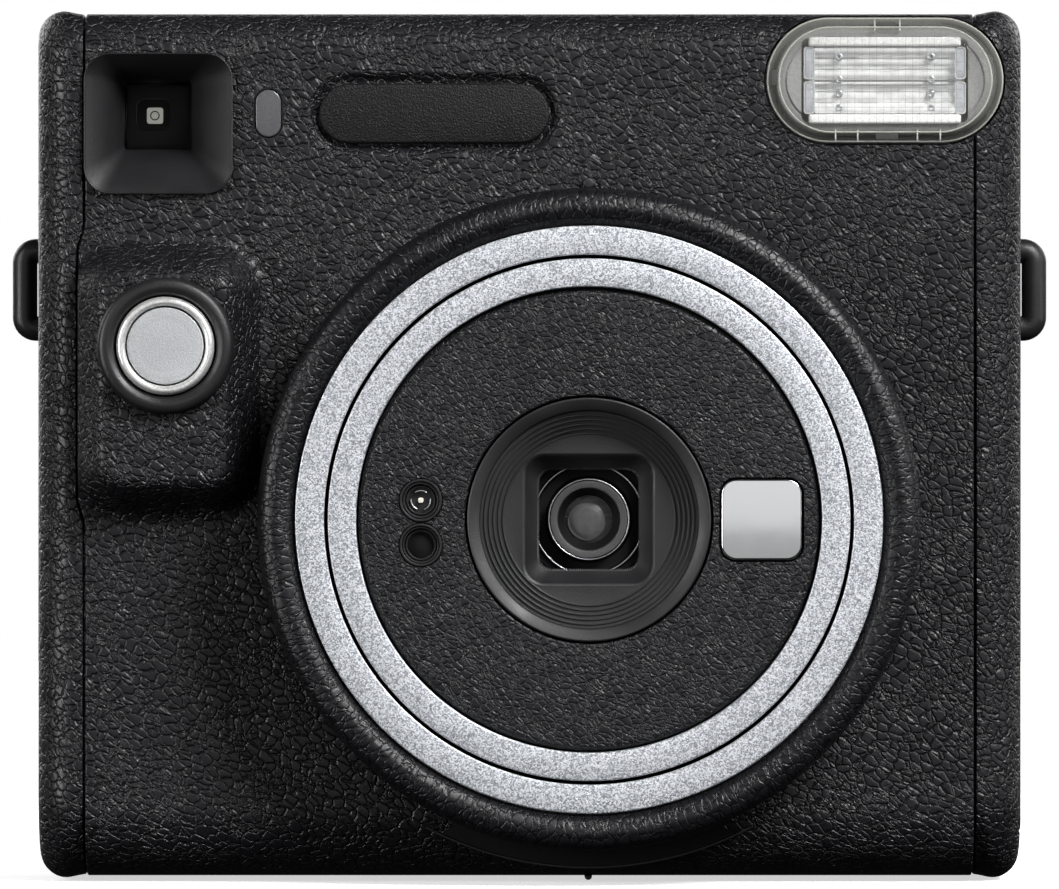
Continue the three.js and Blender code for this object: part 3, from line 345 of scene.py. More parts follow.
class Recipe:
    """A material being made: one Principled shader, and short calls for the nodes that feed it."""

    def __init__(self, slot, colour, roughness, metallic=0.0, **sockets):
        self.material = bpy.data.materials.new(slot)
        self.material.use_nodes = True
        self.tree = self.material.node_tree
        self.shader = self.tree.nodes["Principled BSDF"]
        self.shader.inputs["Base Color"].default_value = (*colour, 1)
        self.shader.inputs["Roughness"].default_value = roughness
        self.shader.inputs["Metallic"].default_value = metallic
        for name, value in sockets.items():
            self.shader.inputs[name.replace("_", " ")].default_value = value
        self.place = self.tree.nodes.new("ShaderNodeTexCoord").outputs["Object"]
        MATERIALS[slot] = self.material

    def node(self, kind, inputs, **settings):
        made = self.tree.nodes.new(kind)
        for name, value in settings.items():
            setattr(made, name, value)
        for key, value in inputs.items():
            if isinstance(value, bpy.types.NodeSocket):
                self.tree.links.new(value, made.inputs[key])
            else:
                made.inputs[key].default_value = value
        return made

    def feed(self, socket, output):
        self.tree.links.new(output, self.shader.inputs[socket])

    def noise(self, size, detail=2.0, place=None):
        """Soft noise whose blobs are about this many millimetres across."""
        inputs = {"Vector": place or self.place, "Scale": 1 / (size * MM), "Detail": detail}
        return self.node("ShaderNodeTexNoise", inputs).outputs["Fac"]

    def stretched(self, scale):
        """The object's coordinates, scaled by a factor for each axis."""
        return self.node("ShaderNodeMapping", {"Vector": self.place, "Scale": scale}).outputs["Vector"]

    def aligned(self, turn, stretch):
        """Coordinates that make a pattern longer along a direction this many degrees below +X."""
        inputs = {"Vector": self.place, "Rotation": (0, math.radians(turn), 0), "Scale": (stretch, 1, 1)}
        return self.node("ShaderNodeMapping", inputs, vector_type="TEXTURE").outputs["Vector"]

    def warped(self, size, reach, place=None):
        """Coordinates pushed about by noise, so that cells come out irregular."""
        place = place or self.place
        inputs = {"Vector": place, "Scale": 1 / (size * MM), "Detail": 2.0}
        push = self.node("ShaderNodeTexNoise", inputs).outputs["Color"]
        inputs = {0: push, 1: (reach * MM,) * 3, 2: place}
        return self.node("ShaderNodeVectorMath", inputs, operation="MULTIPLY_ADD").outputs["Vector"]

    def cells(self, size, place=None, feature="DISTANCE_TO_EDGE"):
        inputs = {"Vector": place or self.place, "Scale": 1 / (size * MM)}
        made = self.node("ShaderNodeTexVoronoi", inputs, feature=feature)
        return made.outputs["Distance" if feature == "DISTANCE_TO_EDGE" else "Color"]

    def ramp(self, value, low, high, to_low=0.0, to_high=1.0):
        """A soft step from to_low to to_high as value goes from low to high."""
        inputs = {0: value, 1: low, 2: high, 3: to_low, 4: to_high}
        return self.node("ShaderNodeMapRange", inputs, interpolation_type="SMOOTHSTEP").outputs[0]

    def math(self, operation, a, b):
        return self.node("ShaderNodeMath", {0: a, 1: b}, operation=operation).outputs[0]

    def colours(self, value, dark, light):
        """A mix from one colour to another as value goes from 0 to 1."""
        made = self.tree.nodes.new("ShaderNodeMix")
        made.data_type = "RGBA"
        self.tree.links.new(value, made.inputs["Factor"])
        made.inputs[6].default_value = (*dark, 1)
        made.inputs[7].default_value = (*light, 1)
        return made.outputs[2]

    def relief(self, height, depth):
        """Bump from a 0 to 1 height, this many millimetres deep."""
        inputs = {"Height": height, "Distance": depth * MM, "Strength": 1.0}
        return self.node("ShaderNodeBump", inputs).outputs["Normal"]


def leather(slot, cell, depth):
    """Embossed black leather: cells longer one way than the other, between creases, with fine pores."""
    recipe = Recipe(slot, (0.006, 0.006, 0.007), 0.38, Specular_IOR_Level=0.36)
    place = recipe.warped(2.2 * cell, 1.0 * cell, recipe.aligned(GRAIN_TURN, GRAIN_STRETCH))
    leather_relief(recipe, cell, depth, recipe.warped(0.6 * cell, 0.35 * cell, place))


def leather_relief(recipe, cell, depth, place):
    edge = recipe.cells(cell, place)
    crease = recipe.ramp(edge, 0.0, 0.14)
    pillow = recipe.math("MULTIPLY", recipe.ramp(edge, 0.0, 0.4), 0.22)
    small = recipe.ramp(recipe.cells(0.5 * cell, place), 0.0, 0.14)
    some = recipe.ramp(recipe.noise(3.0 * cell), 0.42, 0.6, 0.0, 0.4)
    small_crease = recipe.math("MULTIPLY", recipe.math("SUBTRACT", small, 1.0), some)
    pores = recipe.math("MULTIPLY", recipe.noise(0.2, 1.0), 0.05)
    coarse = recipe.math("ADD", crease, pillow)
    fine = recipe.math("ADD", small_crease, pores)
    height = recipe.math("ADD", coarse, fine)
    recipe.feed("Normal", recipe.relief(height, depth))
    # Painted shade: the creases get a darker base colour than the cells, standing in for shade in the
    # grooves.
    recipe.feed("Base Color", recipe.colours(crease, (0.002, 0.002, 0.0025), (0.0055, 0.0055, 0.007)))
    recipe.feed("Roughness", recipe.ramp(recipe.noise(0.5), 0.3, 0.7, 0.32, 0.44))


def rolled_leather(slot, cell, depth):
    """Leather drawn tight over the dial's ring, so that its creases run across the ring."""
    recipe = Recipe(slot, (0.006, 0.006, 0.007), 0.38, Specular_IOR_Level=0.3)
    parts = recipe.node("ShaderNodeSeparateXYZ", {0: recipe.place}).outputs
    across = recipe.math("SUBTRACT", parts["X"], LENS_X * MM)
    up = recipe.math("SUBTRACT", parts["Z"], LENS_Z * MM)
    angle = recipe.math("ARCTAN2", up, across)
    squares = recipe.math("ADD", recipe.math("MULTIPLY", across, across), recipe.math("MULTIPLY", up, up))
    radius = recipe.math("POWER", squares, 0.5)
    along = recipe.math("MULTIPLY", angle, 42 * MM)
    tall = 0.55
    outward = recipe.math("MULTIPLY", radius, tall)
    inputs = {0: along, 1: outward, 2: recipe.math("MULTIPLY", parts["Y"], tall)}
    polar = recipe.node("ShaderNodeCombineXYZ", inputs).outputs[0]
    place = recipe.warped(1.8 * cell, 0.8 * cell, polar)
    leather_relief(recipe, cell, depth, recipe.warped(0.6 * cell, 0.35 * cell, place))


def moulded(slot, colour, roughness, grain=0.22, depth=0.012, metallic=0.0, **sockets):
    """Plastic or paint with the fine grain of its mould, and slightly uneven gloss."""
    recipe = Recipe(slot, colour, roughness, metallic, **sockets)
    speckle = recipe.noise(grain, 3.0)
    recipe.feed("Normal", recipe.relief(speckle, depth))
    recipe.feed("Roughness", recipe.ramp(recipe.noise(6.0), 0.3, 0.7, roughness - 0.05, roughness + 0.06))
    darker = [0.8 * part for part in colour]
    recipe.feed("Base Color", recipe.colours(recipe.ramp(speckle, 0.35, 0.65), darker, colour))


def sparkle_paint(slot):
    """Silver paint with fine metal flake."""
    recipe = Recipe(slot, (0.72, 0.74, 0.77), 0.42, 0.7)
    flake = recipe.node("ShaderNodeSeparateColor", {"Color": recipe.cells(0.17, feature="F1")}).outputs[0]
    fine = recipe.noise(0.13, 2.0)
    mixed = recipe.math("ADD", recipe.math("MULTIPLY", flake, 0.5), recipe.math("MULTIPLY", fine, 0.5))
    share = recipe.ramp(mixed, 0.25, 0.75)
    recipe.feed("Base Color", recipe.colours(share, (0.25, 0.265, 0.29), (0.78, 0.8, 0.84)))
    recipe.feed("Normal", recipe.relief(mixed, 0.015))
    recipe.feed("Roughness", recipe.ramp(flake, 0.0, 1.0, 0.34, 0.5))


def brushed_metal(slot, colour, roughness, stretch):
    """Metal with fine marks that run along one direction."""
    recipe = Recipe(slot, colour, roughness, 1.0)
    marks = recipe.noise(0.5, 3.0, recipe.stretched(stretch))
    recipe.feed("Normal", recipe.relief(marks, 0.006))
    recipe.feed("Roughness", recipe.ramp(marks, 0.3, 0.7, roughness - 0.06, roughness + 0.08))


def dark_glass():
    """Nearly black glass with the faint haze of a coating."""
    colour = (0.012, 0.013, 0.015)
    recipe = Recipe("dark_glass", colour, 0.06, IOR=1.52, Coat_Weight=1.0, Coat_Roughness=0.02)
    haze = recipe.noise(4.0)
    recipe.feed("Roughness", recipe.ramp(haze, 0.3, 0.7, 0.04, 0.10))
    recipe.feed("Base Color", recipe.colours(haze, (0.008, 0.009, 0.011), (0.018, 0.019, 0.022)))


def lens_glass():
    """The coated front element: clear enough to show the inner element behind it, whose pale grey is a
    painted reflection.
    """
    recipe = Recipe("lens_glass", (0.03, 0.03, 0.032), 0.3, IOR=1.52, Alpha=0.4, Specular_IOR_Level=0.2)
    haze = recipe.noise(1.2)
    recipe.feed("Base Color", recipe.colours(haze, (0.025, 0.025, 0.027), (0.04, 0.04, 0.042)))
    recipe.feed("Roughness", recipe.ramp(haze, 0.3, 0.7, 0.26, 0.34))


def clear_plastic(slot, tint, flat_alpha, rim_alpha, y_flat, y_rim, **sockets):
    """Clear plastic, smoky where its rim slopes back from the flat front."""
    recipe = Recipe(slot, tint, 0.07, IOR=1.49, **sockets)
    depth = recipe.node("ShaderNodeSeparateXYZ", {0: recipe.place}).outputs["Y"]
    haze = recipe.math("MULTIPLY", recipe.noise(1.5), 0.04)
    wall = recipe.ramp(depth, y_flat * MM, y_rim * MM, flat_alpha, rim_alpha)
    recipe.feed("Alpha", recipe.math("ADD", wall, haze))
    recipe.feed("Roughness", recipe.ramp(recipe.noise(3.0), 0.3, 0.7, 0.04, 0.12))
    recipe.feed("Normal", recipe.relief(recipe.noise(1.1), 0.01))


def ruled_glass():
    """The flash's front pane: clear, with the thin ruled lines of its Fresnel grid."""
    recipe = Recipe("flash_glass", (0.9, 0.92, 0.95), 0.08, IOR=1.5)
    parts = recipe.node("ShaderNodeSeparateXYZ", {0: recipe.place}).outputs
    lines = []
    for name, pitch in (("X", 0.98), ("Z", 1.22)):
        phase = recipe.math("PINGPONG", recipe.math("DIVIDE", parts[name], pitch * MM), 0.5)
        lines.append(recipe.ramp(phase, 0.0, 0.06, 1.0, 0.0))
    line = recipe.math("MAXIMUM", lines[0], lines[1])
    recipe.feed("Base Color", recipe.colours(line, (0.9, 0.92, 0.95), (0.25, 0.27, 0.3)))
    recipe.feed("Alpha", recipe.ramp(line, 0.0, 1.0, 0.04, 0.2))
    recipe.feed("Normal", recipe.relief(line, 0.02))


def mirror_silver():
    recipe = Recipe("mirror_silver", (0.83, 0.84, 0.85), 0.12, 1.0)
    smear = recipe.noise(5.0)
    recipe.feed("Roughness", recipe.ramp(smear, 0.3, 0.7, 0.12, 0.16))
    recipe.feed("Base Color", recipe.colours(smear, (0.80, 0.81, 0.82), (0.86, 0.87, 0.88)))


def board_green():
    """Circuit board: green mask over copper runs."""
    recipe = Recipe("board_green", (0.02, 0.12, 0.05), 0.4)
    runs = recipe.ramp(recipe.cells(2.2, recipe.stretched((1, 1, 2.2))), 0.05, 0.09)
    recipe.feed("Base Color", recipe.colours(runs, (0.10, 0.25, 0.08), (0.015, 0.09, 0.04)))
    recipe.feed("Normal", recipe.relief(runs, -0.03))


def cell_sleeve():
    """A battery's plastic sleeve, with its metal end cap showing."""
    recipe = Recipe("cell_sleeve", (0.05, 0.055, 0.065), 0.35)
    along = recipe.node("ShaderNodeSeparateXYZ", {0: recipe.place}).outputs["X"]
    end = limits("battery_lower")[1][0]
    cap = recipe.ramp(along, (end - 2.4) * MM, (end - 2.2) * MM)
    recipe.feed("Base Color", recipe.colours(cap, (0.05, 0.055, 0.065), (0.55, 0.54, 0.52)))
    recipe.feed("Metallic", cap)
    recipe.feed("Normal", recipe.relief(recipe.noise(2.0), 0.02))


def glowing(slot, colour):
    """A pale pane lit from behind: daylight that comes through the finder."""
    moulded(slot, colour, 0.5, depth=0.004, Emission_Color=(*colour, 1), Emission_Strength=0.55)


def make_materials():
    leather("leather_black", 1.05, 0.125)
    leather("leather_fine", 0.78, 0.09)
    rolled_leather("leather_rolled", 1.05, 0.06)
    moulded("satin_black", (0.01, 0.01, 0.011), 0.42, grain=0.28, depth=0.035, Specular_IOR_Level=0.38)
    moulded("plate_black", (0.004, 0.004, 0.0045), 0.42, grain=0.24, depth=0.16, Specular_IOR_Level=0.2)
    moulded("inner_black", (0.004, 0.004, 0.0042), 0.6, Specular_IOR_Level=0.15)
    moulded("hood_black", (0.008, 0.008, 0.009), 0.52, grain=0.26, depth=0.03, Specular_IOR_Level=0.5)
    moulded("retainer_grey", (0.045, 0.045, 0.045), 0.45, grain=0.2, depth=0.05)
    moulded("rubber_black", (0.013, 0.013, 0.013), 0.75, grain=0.35, depth=0.03)
    moulded("grey_panel", (0.3, 0.3, 0.3), 0.5)
    moulded("white_plastic", (0.72, 0.69, 0.6), 0.45)
    moulded("reflector_white", (0.95, 0.95, 0.92), 0.35)
    sparkle_paint("silver_paint")
    moulded("bright_trim", (0.86, 0.86, 0.85), 0.3, grain=0.3, depth=0.002, metallic=0.7)
    moulded("satin_metal", (0.62, 0.635, 0.65), 0.4, grain=0.2, depth=0.03, metallic=0.75)
    brushed_metal("steel", (0.52, 0.53, 0.54), 0.32, (0.08, 1, 1))
    dark_glass()
    lens_glass()
    cover_front = limits("flash_cover")[0][1]
    clear_plastic("clear_smoke", (0.24, 0.24, 0.22), 0.01, 0.46, cover_front + 0.4, cover_front + 2.2)
    clear_plastic("window_glass", (0.01, 0.01, 0.011), 0.25, 0.25, 0, 1, Specular_IOR_Level=0.08)
    ruled_glass()
    mirror_silver()
    board_green()
    cell_sleeve()
    glowing("finder_light", (0.86, 0.86, 0.78))
    smoke = (0.07, 0.07, 0.075)
    moulded("sensor_smoke", smoke, 0.3, grain=0.3, depth=0.004, Coat_Weight=0.25, Coat_Roughness=0.25)
    # Painted reflection: the inner lens element's pale grey stands in for the lighter circle reflected in
    # the lens.
    moulded("element_painted_reflection", (0.15, 0.15, 0.152), 0.5, grain=0.8, depth=0.004)
    moulded("clear_edge", (0.5, 0.5, 0.48), 0.2, depth=0.004)
    # Painted highlight: pale lines laid on the edges of the flash cover.
    moulded("cover_edge_glint", (0.55, 0.55, 0.5), 0.2, depth=0.004, Alpha=0.55)
    moulded("smoke_block", (0.05, 0.05, 0.048), 0.3, depth=0.004)
    moulded("clear_wing", (0.62, 0.64, 0.68), 0.12, grain=1.2, depth=0.05, metallic=0.6)
    moulded("reflector_silver", (0.97, 0.97, 0.96), 0.2, grain=1.5, depth=0.005, metallic=0.4)


# ---------------------------------------------------------------- pieces

SHARP = math.radians(32)


def piece(name, made, body, slot, *nodes, look=None):
    """Names a finished solid, gives it its material, shades it, hangs it on its body and hides the CAD nodes
    it stands in for.
    """
    made.name = name
    made.data.name = name
    made.data.materials.clear()
    made.data.materials.append(MATERIALS[look or slot])
    made.data.shade_smooth()
    made.data.set_sharp_from_angle(angle=SHARP)
    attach(made, body)
    if nodes:
        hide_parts(*nodes)
    return made


# ---------------------------------------------------------------- casing

def grip_height(x, z):
    """How far the grip stands out of the casing's face at (x, z)."""
    off_x = np.abs(x - GRIP_X) - GRIP_WIDTH / 2 + GRIP_CORNER
    off_z = np.abs(z - GRIP_Z) - GRIP_HEIGHT / 2 + GRIP_CORNER
    outside = np.hypot(np.maximum(off_x, 0), np.maximum(off_z, 0))
    inwards = GRIP_CORNER - outside - np.minimum(np.maximum(off_x, off_z), 0)
    share = np.clip(inwards / GRIP_SLOPE, 0, 1)
    dome = np.sqrt(1 - (1 - share) ** 2)
    welt = GRIP_WELT * np.exp(-((inwards + 0.35) / 0.6) ** 2)
    return (FRONT - SHELL_LOW[1]) * (0.45 * dome + 0.55 * smooth(share)) + welt


def bowed(points):
    """Swings the left seam out round the grip, on the front of the casing only."""
    x, y, z = points[..., 0], points[..., 1], points[..., 2]
    half = GRIP_HEIGHT / 2
    window = smooth((z - GRIP_Z + half + 2) / 4) * smooth((GRIP_Z + half + 3 - z) / 4)
    near = 1 - smooth(np.abs(x + SEAM) / 5.5)
    forward = smooth((-6 - y) / 8)
    points[..., 0] = x - BOW * window * near * forward
    return points


def end_inset(distance):
    """The rounding of an edge, at this distance from the end."""
    left = np.clip(SEAM_EDGE - distance, 0, SEAM_EDGE)
    return SEAM_EDGE - math.sqrt(SEAM_EDGE ** 2 - left ** 2)


def casing_sheet(path):
    """A shell of constant wall along X, from seam to seam, whose section follows the path."""
    near_end = SEAM_EDGE * (1 - np.cos(np.linspace(0, math.pi / 2, 4)))
    inner = SEAM - SEAM_EDGE
    count = int(2 * inner / GRID)
    columns = np.concatenate([
        -SEAM + near_end,
        np.linspace(-inner, inner, count)[1:-1],
        SEAM - near_end[::-1],
    ])
    back = offset(path, WALL)[::-1]
    rings = []
    for x in columns:
        section = np.vstack([offset(path, end_inset(SEAM - abs(x))), back])
        rings.append(placed(section, x, "x"))
    return np.array(rings)


def front_skin():
    """The front shell before its openings are cut, with the grip pushed out of its face."""
    corners = [
        (SHELL_HIGH[1], TOP),
        (FRONT, TOP, TOP_RADIUS),
        (FRONT, BOTTOM, BOTTOM_RADIUS),
        (SHELL_HIGH[1], BOTTOM),
    ]
    rings = casing_sheet(densified(filleted(corners, 12, closed=False), GRID))
    on_face = rings[..., 1] < FRONT + WALL + 0.05
    rings[..., 1] -= np.where(on_face, grip_height(rings[..., 0], rings[..., 2]), 0)
    return skinned(bowed(rings))


def front_shell():
    finder = rounded_rect(FINDER_X, FINDER_Z, 19.4, 18.3, 3.2)
    through = (FRONT - 1, FRONT + WALL + 1)
    shell = cut(
        front_skin(),
        rod(LENS_X, LENS_Z, BORE_RADIUS, *through, facets=192),
        rod(SHUTTER_X, SHUTTER_Z, 7.9, SHELL_LOW[1] - 1, FRONT + 3, facets=64),
        lofted([(finder, level) for level in through]),
        plate(SENSOR_X, SENSOR_Z, 3.5 + 2 * GAP, 6.45 + 2 * GAP, 2.1, *through),
        flash_cutter(),
        name_dish(),
    )
    piece("casing_front", shell, "body", "leather_black", "front_shell")


def dial_base():
    """The cone that the dial stands on, given the darker inner_black look as painted shade under the dial's
    ring, and the thin lighter edge round its foot.
    """
    front = FRONT + 0.04
    back = SHELL_HIGH[1] - 3
    base = lens_turned([
        (COLLAR_RADIUS - 3, front),
        (COLLAR_RADIUS - 0.35, front + 0.6, 0.1),
        (COLLAR_RADIUS - 0.3, front + 0.35, 0.1),
        (COLLAR_RADIUS, front + 0.35, 0.12),
        (COLLAR_RADIUS, back),
        (COLLAR_RADIUS - 3, back),
    ], facets=256)
    # Painted shade: the cone is shown in inner_black rather than its own satin black, for the shade under
    # the ring.
    piece("dial_base", base, "body", "satin_black", look="inner_black")
    edge = lens_turned([
        (COLLAR_RADIUS - 0.3, front + 2),
        (COLLAR_RADIUS - 0.3, front + 0.3, 0.1),
        (COLLAR_RADIUS + 0.05, front + 0.3, 0.15),
        (COLLAR_RADIUS + 0.05, front + 2),
    ])
    piece("dial_base_edge", edge, "body", "satin_black")


def flash_cutter():
    low, high = limits("flash_cover")
    width, height = high[0] - low[0] + 2 * GAP, high[2] - low[2] + 2 * GAP
    return plate(FLASH_X, FLASH_Z, width, height, height / 2, FRONT - 3, FRONT + 9, steps=24)


def name_dish():
    """The soft recess round the name plate: an S-shaped slope down to a flat floor."""
    low, high = limits("name_plate")
    width, height = high[0] - low[0], high[2] - low[2]
    reach, depth = 1.5, 1.0
    sections = []
    for share in np.linspace(0, 1, 9):
        grow = 2 * (0.15 + reach * (1 - share))
        outline = rounded_rect(PLATE_X, PLATE_Z, width + grow, height + grow, height, 24)
        sections.append((outline, FRONT - 0.01 + depth * smooth(share)))
    mouth = (sections[0][0], FRONT - 1)
    return lofted([mouth] + sections)


def cover_ring(x, extra=0.0):
    """An end cover's outline at this distance from the middle, moved in by extra."""
    def rounding(radius):
        share = np.clip((x - SIDE + radius) / radius, 0, 1)
        return radius * (1 - math.sqrt(1 - share ** 2)) + extra

    blend = (BOTTOM - COVER_LOW[2]) * (1 - smooth((x - COVER_LOW[0]) / 3))
    front_in, rear_in = rounding(SIDE_FRONT_RADIUS), rounding(REAR_RADIUS)
    height_in = rounding(SIDE_RADIUS) + blend
    y0, y1 = FRONT + front_in, REAR - rear_in
    z0, z1 = COVER_LOW[2] + height_in, COVER_HIGH[2] - height_in
    shrink = min(front_in, height_in)
    outline = filleted([
        (y1, z0, REAR_RADIUS - min(rear_in, height_in) + 0.3),
        (y1, z1, REAR_RADIUS - min(rear_in, height_in) + 0.3),
        (y0, z1, TOP_RADIUS - shrink + 0.3),
        (y0, z0, BOTTOM_RADIUS - shrink),
    ], 12)
    return placed(resampled(outline, 400), x, "x")


def end_cover(side):
    """An end cover as a cup, with the lug's pocket in it; side is 1 at +X and -1 at -X."""
    x0 = COVER_LOW[0]
    inner = [cover_ring(x, extra) for x, extra in ((SIDE - WALL, 3.5), (SIDE - 2.6, 2.2), (x0, WALL))]
    edge = [cover_ring(x0 + d, end_inset(d)) for d in (0, 0.05, 0.12)]
    outer = [
        cover_ring(SIDE - SIDE_FRONT_RADIUS * (1 - math.sin(angle)))
        for angle in np.linspace(math.radians(2.4), math.pi / 2, 18)
    ]
    rings = np.array(inner + edge + outer)
    if side < 0:
        rings = bowed(mirrored_x(rings))
    cover = skinned(rings)
    floor = limits("strap_lug_right")[0][0] - GAP
    block = plate(0, LUG_Z, 21, 18, 1, side * (x0 + 0.1), side * (SIDE - 1.5), edge=0, axis="x")
    join(cover, block)
    pocket = [
        (rounded_rect(0, LUG_Z, *LUG_POCKET_FLOOR, 1.5), side * floor),
        (rounded_rect(0, LUG_Z, 15.5, 14.7, 2), side * (SIDE - 1.2)),
        (rounded_rect(0, LUG_Z, *LUG_POCKET_MOUTH, 2.5), side * (SIDE + 0.1)),
        (rounded_rect(0, LUG_Z, *LUG_POCKET_MOUTH, 2.5), side * (SIDE + 1)),
    ]
    return cut(cover, lofted(pocket, "x"))


def seam_tongue(side):
    """The lip inside each seam that keeps light from coming through it."""
    x0, reach = COVER_LOW[0], 1.5
    outer, inner = cover_ring(x0, WALL + 0.05), cover_ring(x0, WALL + 0.85)
    shift = np.array([reach, 0, 0])
    rings = np.array([outer - shift, outer + shift, inner + shift, inner - shift])
    if side < 0:
        rings = mirrored_x(rings)
    return skinned(rings, closed=True)


def seam_tongues():
    for name, side in (("left", -1), ("right", 1)):
        piece(f"seam_tongue_{name}", seam_tongue(side), "body", "leather_black", look="inner_black")


def end_covers():
    """Both covers; the right one has openings for the flash and the battery door."""
    piece("end_cover_left", end_cover(-1), "body", "leather_black", "left_end_cover")
    low, high = limits("battery_door")
    width, height = high[1] - low[1] + 2 * GAP, high[2] - low[2] + 2 * GAP
    _, y, z = middle("battery_door")
    opening = plate(y, z, width, height, 2, SEAM - 1, SIDE + 1, edge=0, axis="x")
    right = cut(end_cover(1), flash_cutter(), opening)
    piece("end_cover_right", right, "body", "leather_black", "right_end_cover")


def battery_hatch():
    """The battery door, with a notch for a fingernail."""
    low, high = limits("battery_door")
    _, y, z = middle("battery_door")
    door = plate(y, z, high[1] - low[1], high[2] - low[2], 1.7, high[0], low[0], edge=0.35, axis="x")
    notch = rod(high[0] + 1.0, low[1] + 2.2, 1.7, z - 6, z + 6, 1.2, axis="z")
    piece("battery_hatch", cut(door, notch), "battery_door", "leather_black", "battery_door")


HINGE_RADIUS = 2.1
PIN_RADIUS = 1.0
DOOR_KNUCKLES = [(22, 38), (70, 86)]
SHELL_KNUCKLES = [(12, 21.7), (38.3, 69.7), (86.3, 96)]


def hinge_eye(low, high, arm_low, arm_high):
    """One knuckle round the hinge pin, with the arm that carries it."""
    (x0, y0), (x1, y1) = arm_low, arm_high
    eye = rod(HINGE_X, HINGE_Y, HINGE_RADIUS, low, high, 0.35, axis="z", facets=40)
    arm = plate((x0 + x1) / 2, (y0 + y1) / 2, x1 - x0, y1 - y0, 0.3, low, high, 0.2, 0.2, axis="z")
    hole = rod(HINGE_X, HINGE_Y, PIN_RADIUS + 0.15, low - 1, high + 1, 0, axis="z", facets=40)
    return cut(join(eye, arm), hole)


LATCH_X, LATCH_Z = -50.5, 57


def rear_shell():
    """The back of the casing, with its hinge knuckles and every opening in it."""
    corners = [
        (PARTING + GAP / 2, BOTTOM),
        (REAR, BOTTOM, REAR_RADIUS),
        (REAR, TOP, REAR_RADIUS),
        (PARTING + GAP / 2, TOP),
    ]
    shell = skinned(casing_sheet(densified(filleted(corners, 10, closed=False), 1.4)))
    for low, high in SHELL_KNUCKLES:
        join(shell, hinge_eye(low, high, (HINGE_X - 1.4, REAR - 1), (HINGE_X + 2, HINGE_Y)))
    through = (REAR - WALL - 1, REAR + 1)
    chassis_low, chassis_high = limits("chassis")
    x0, x1 = chassis_low[0] - 3, chassis_high[0] + GAP
    z0, z1 = 4.7, 101.6
    counter_x, _, counter_z = middle("counter_window")
    film_door_hole = plate((x0 + x1) / 2, (z0 + z1) / 2, x1 - x0, z1 - z0, 0.8, *through, edge=0)
    eyepiece_hole = plate(EYE_X, EYE_Z, 10.4, 8.4, 1, *through, edge=0)
    latch_slot = plate(LATCH_X, LATCH_Z - 1.8, 3.4, 13.5, 0.5, *through, edge=0)
    counter_hole = plate(counter_x, counter_z, 8.6, 6.6, 1.8, *through, edge=0)
    film_exit = plate(LENS_X, 10.1, 76, 10.2, 0.8, TOP - WALL - 1, TOP + 1, edge=0, axis="z")
    screws = [middle("case_screw_1"), middle("case_screw_2")]
    head_holes = [rod(x, y, 2.5, BOTTOM - 1, BOTTOM + 1.1, 0, axis="z") for x, y, _ in screws]
    shank_holes = [rod(x, y, 1.4, BOTTOM, 5, 0, axis="z") for x, y, _ in screws]
    cut(shell, film_door_hole, eyepiece_hole, latch_slot, counter_hole, film_exit, *head_holes, *shank_holes)
    piece("casing_rear", shell, "body", "leather_black", "rear_shell")


DOOR_RIGHT = 53.4  # where the door's leaf ends, beside the hinge
DOOR_BACK = 28.9
DOOR_WALL = 1.8
WINDOW_WIDTH, WINDOW_HEIGHT = 9.4, 26.4
WINDOW_FRAME = 4  # what the raised frame adds to the window's width and height


def door_leaf(x, z, width, height):
    """The door's cup, with a thin groove round its outside and a light-trap lip inside."""
    inner, corner = REAR + GAP, 6
    leaf = plate(x, z, width, height, corner, DOOR_BACK, inner, 1.5)
    hollow = plate(x, z, width - 4, height - 4, corner - 2, inner - 1, DOOR_BACK - DOOR_WALL, 0)
    groove_out = plate(x, z, width - 11, height - 11, 3.5, DOOR_BACK - 0.45, DOOR_BACK + 1, 0)
    groove_in = plate(x, z, width - 12.6, height - 12.6, 2.8, DOOR_BACK - 1, DOOR_BACK + 2, 0)
    cut(leaf, hollow, cut(groove_out, groove_in))
    lip = plate(LENS_X, 53, 86, 92, 3, inner - 0.6, DOOR_BACK - 1.5, 0)
    return join(leaf, cut(lip, plate(LENS_X, 53, 83, 89, 2, inner - 2, DOOR_BACK - 1, 0)))


def film_door():
    """The back door with its knuckles, and the small window that shows whether film is in."""
    left, bottom, top = DOOR_LOW[0], DOOR_LOW[2], DOOR_HIGH[2]
    door = door_leaf((left + DOOR_RIGHT) / 2, (bottom + top) / 2, DOOR_RIGHT - left, top - bottom)
    for low, high in DOOR_KNUCKLES:
        join(door, hinge_eye(low, high, (DOOR_RIGHT - 2, HINGE_Y - 1.4), (HINGE_X, HINGE_Y + 1.2)))
    x, _, z = middle("film_check_window")
    frame_width, frame_height = WINDOW_WIDTH + WINDOW_FRAME, WINDOW_HEIGHT + WINDOW_FRAME
    join(door, plate(x, z, frame_width, frame_height, 3.6, DOOR_BACK, DOOR_BACK - 1.7, 0.6))
    cut(door, plate(x, z, WINDOW_WIDTH, WINDOW_HEIGHT, 2.2, REAR + GAP - 2, DOOR_BACK + 2, 0))
    piece("rear_door", door, "film_door", "leather_black", "film_door")
    pane = plate(x, z, WINDOW_WIDTH - 0.6, WINDOW_HEIGHT - 0.6, 2, DOOR_BACK - 0.3, DOOR_BACK - 1.6, 0.3)
    piece("film_window_pane", pane, "film_door", "dark_glass", "film_check_window")


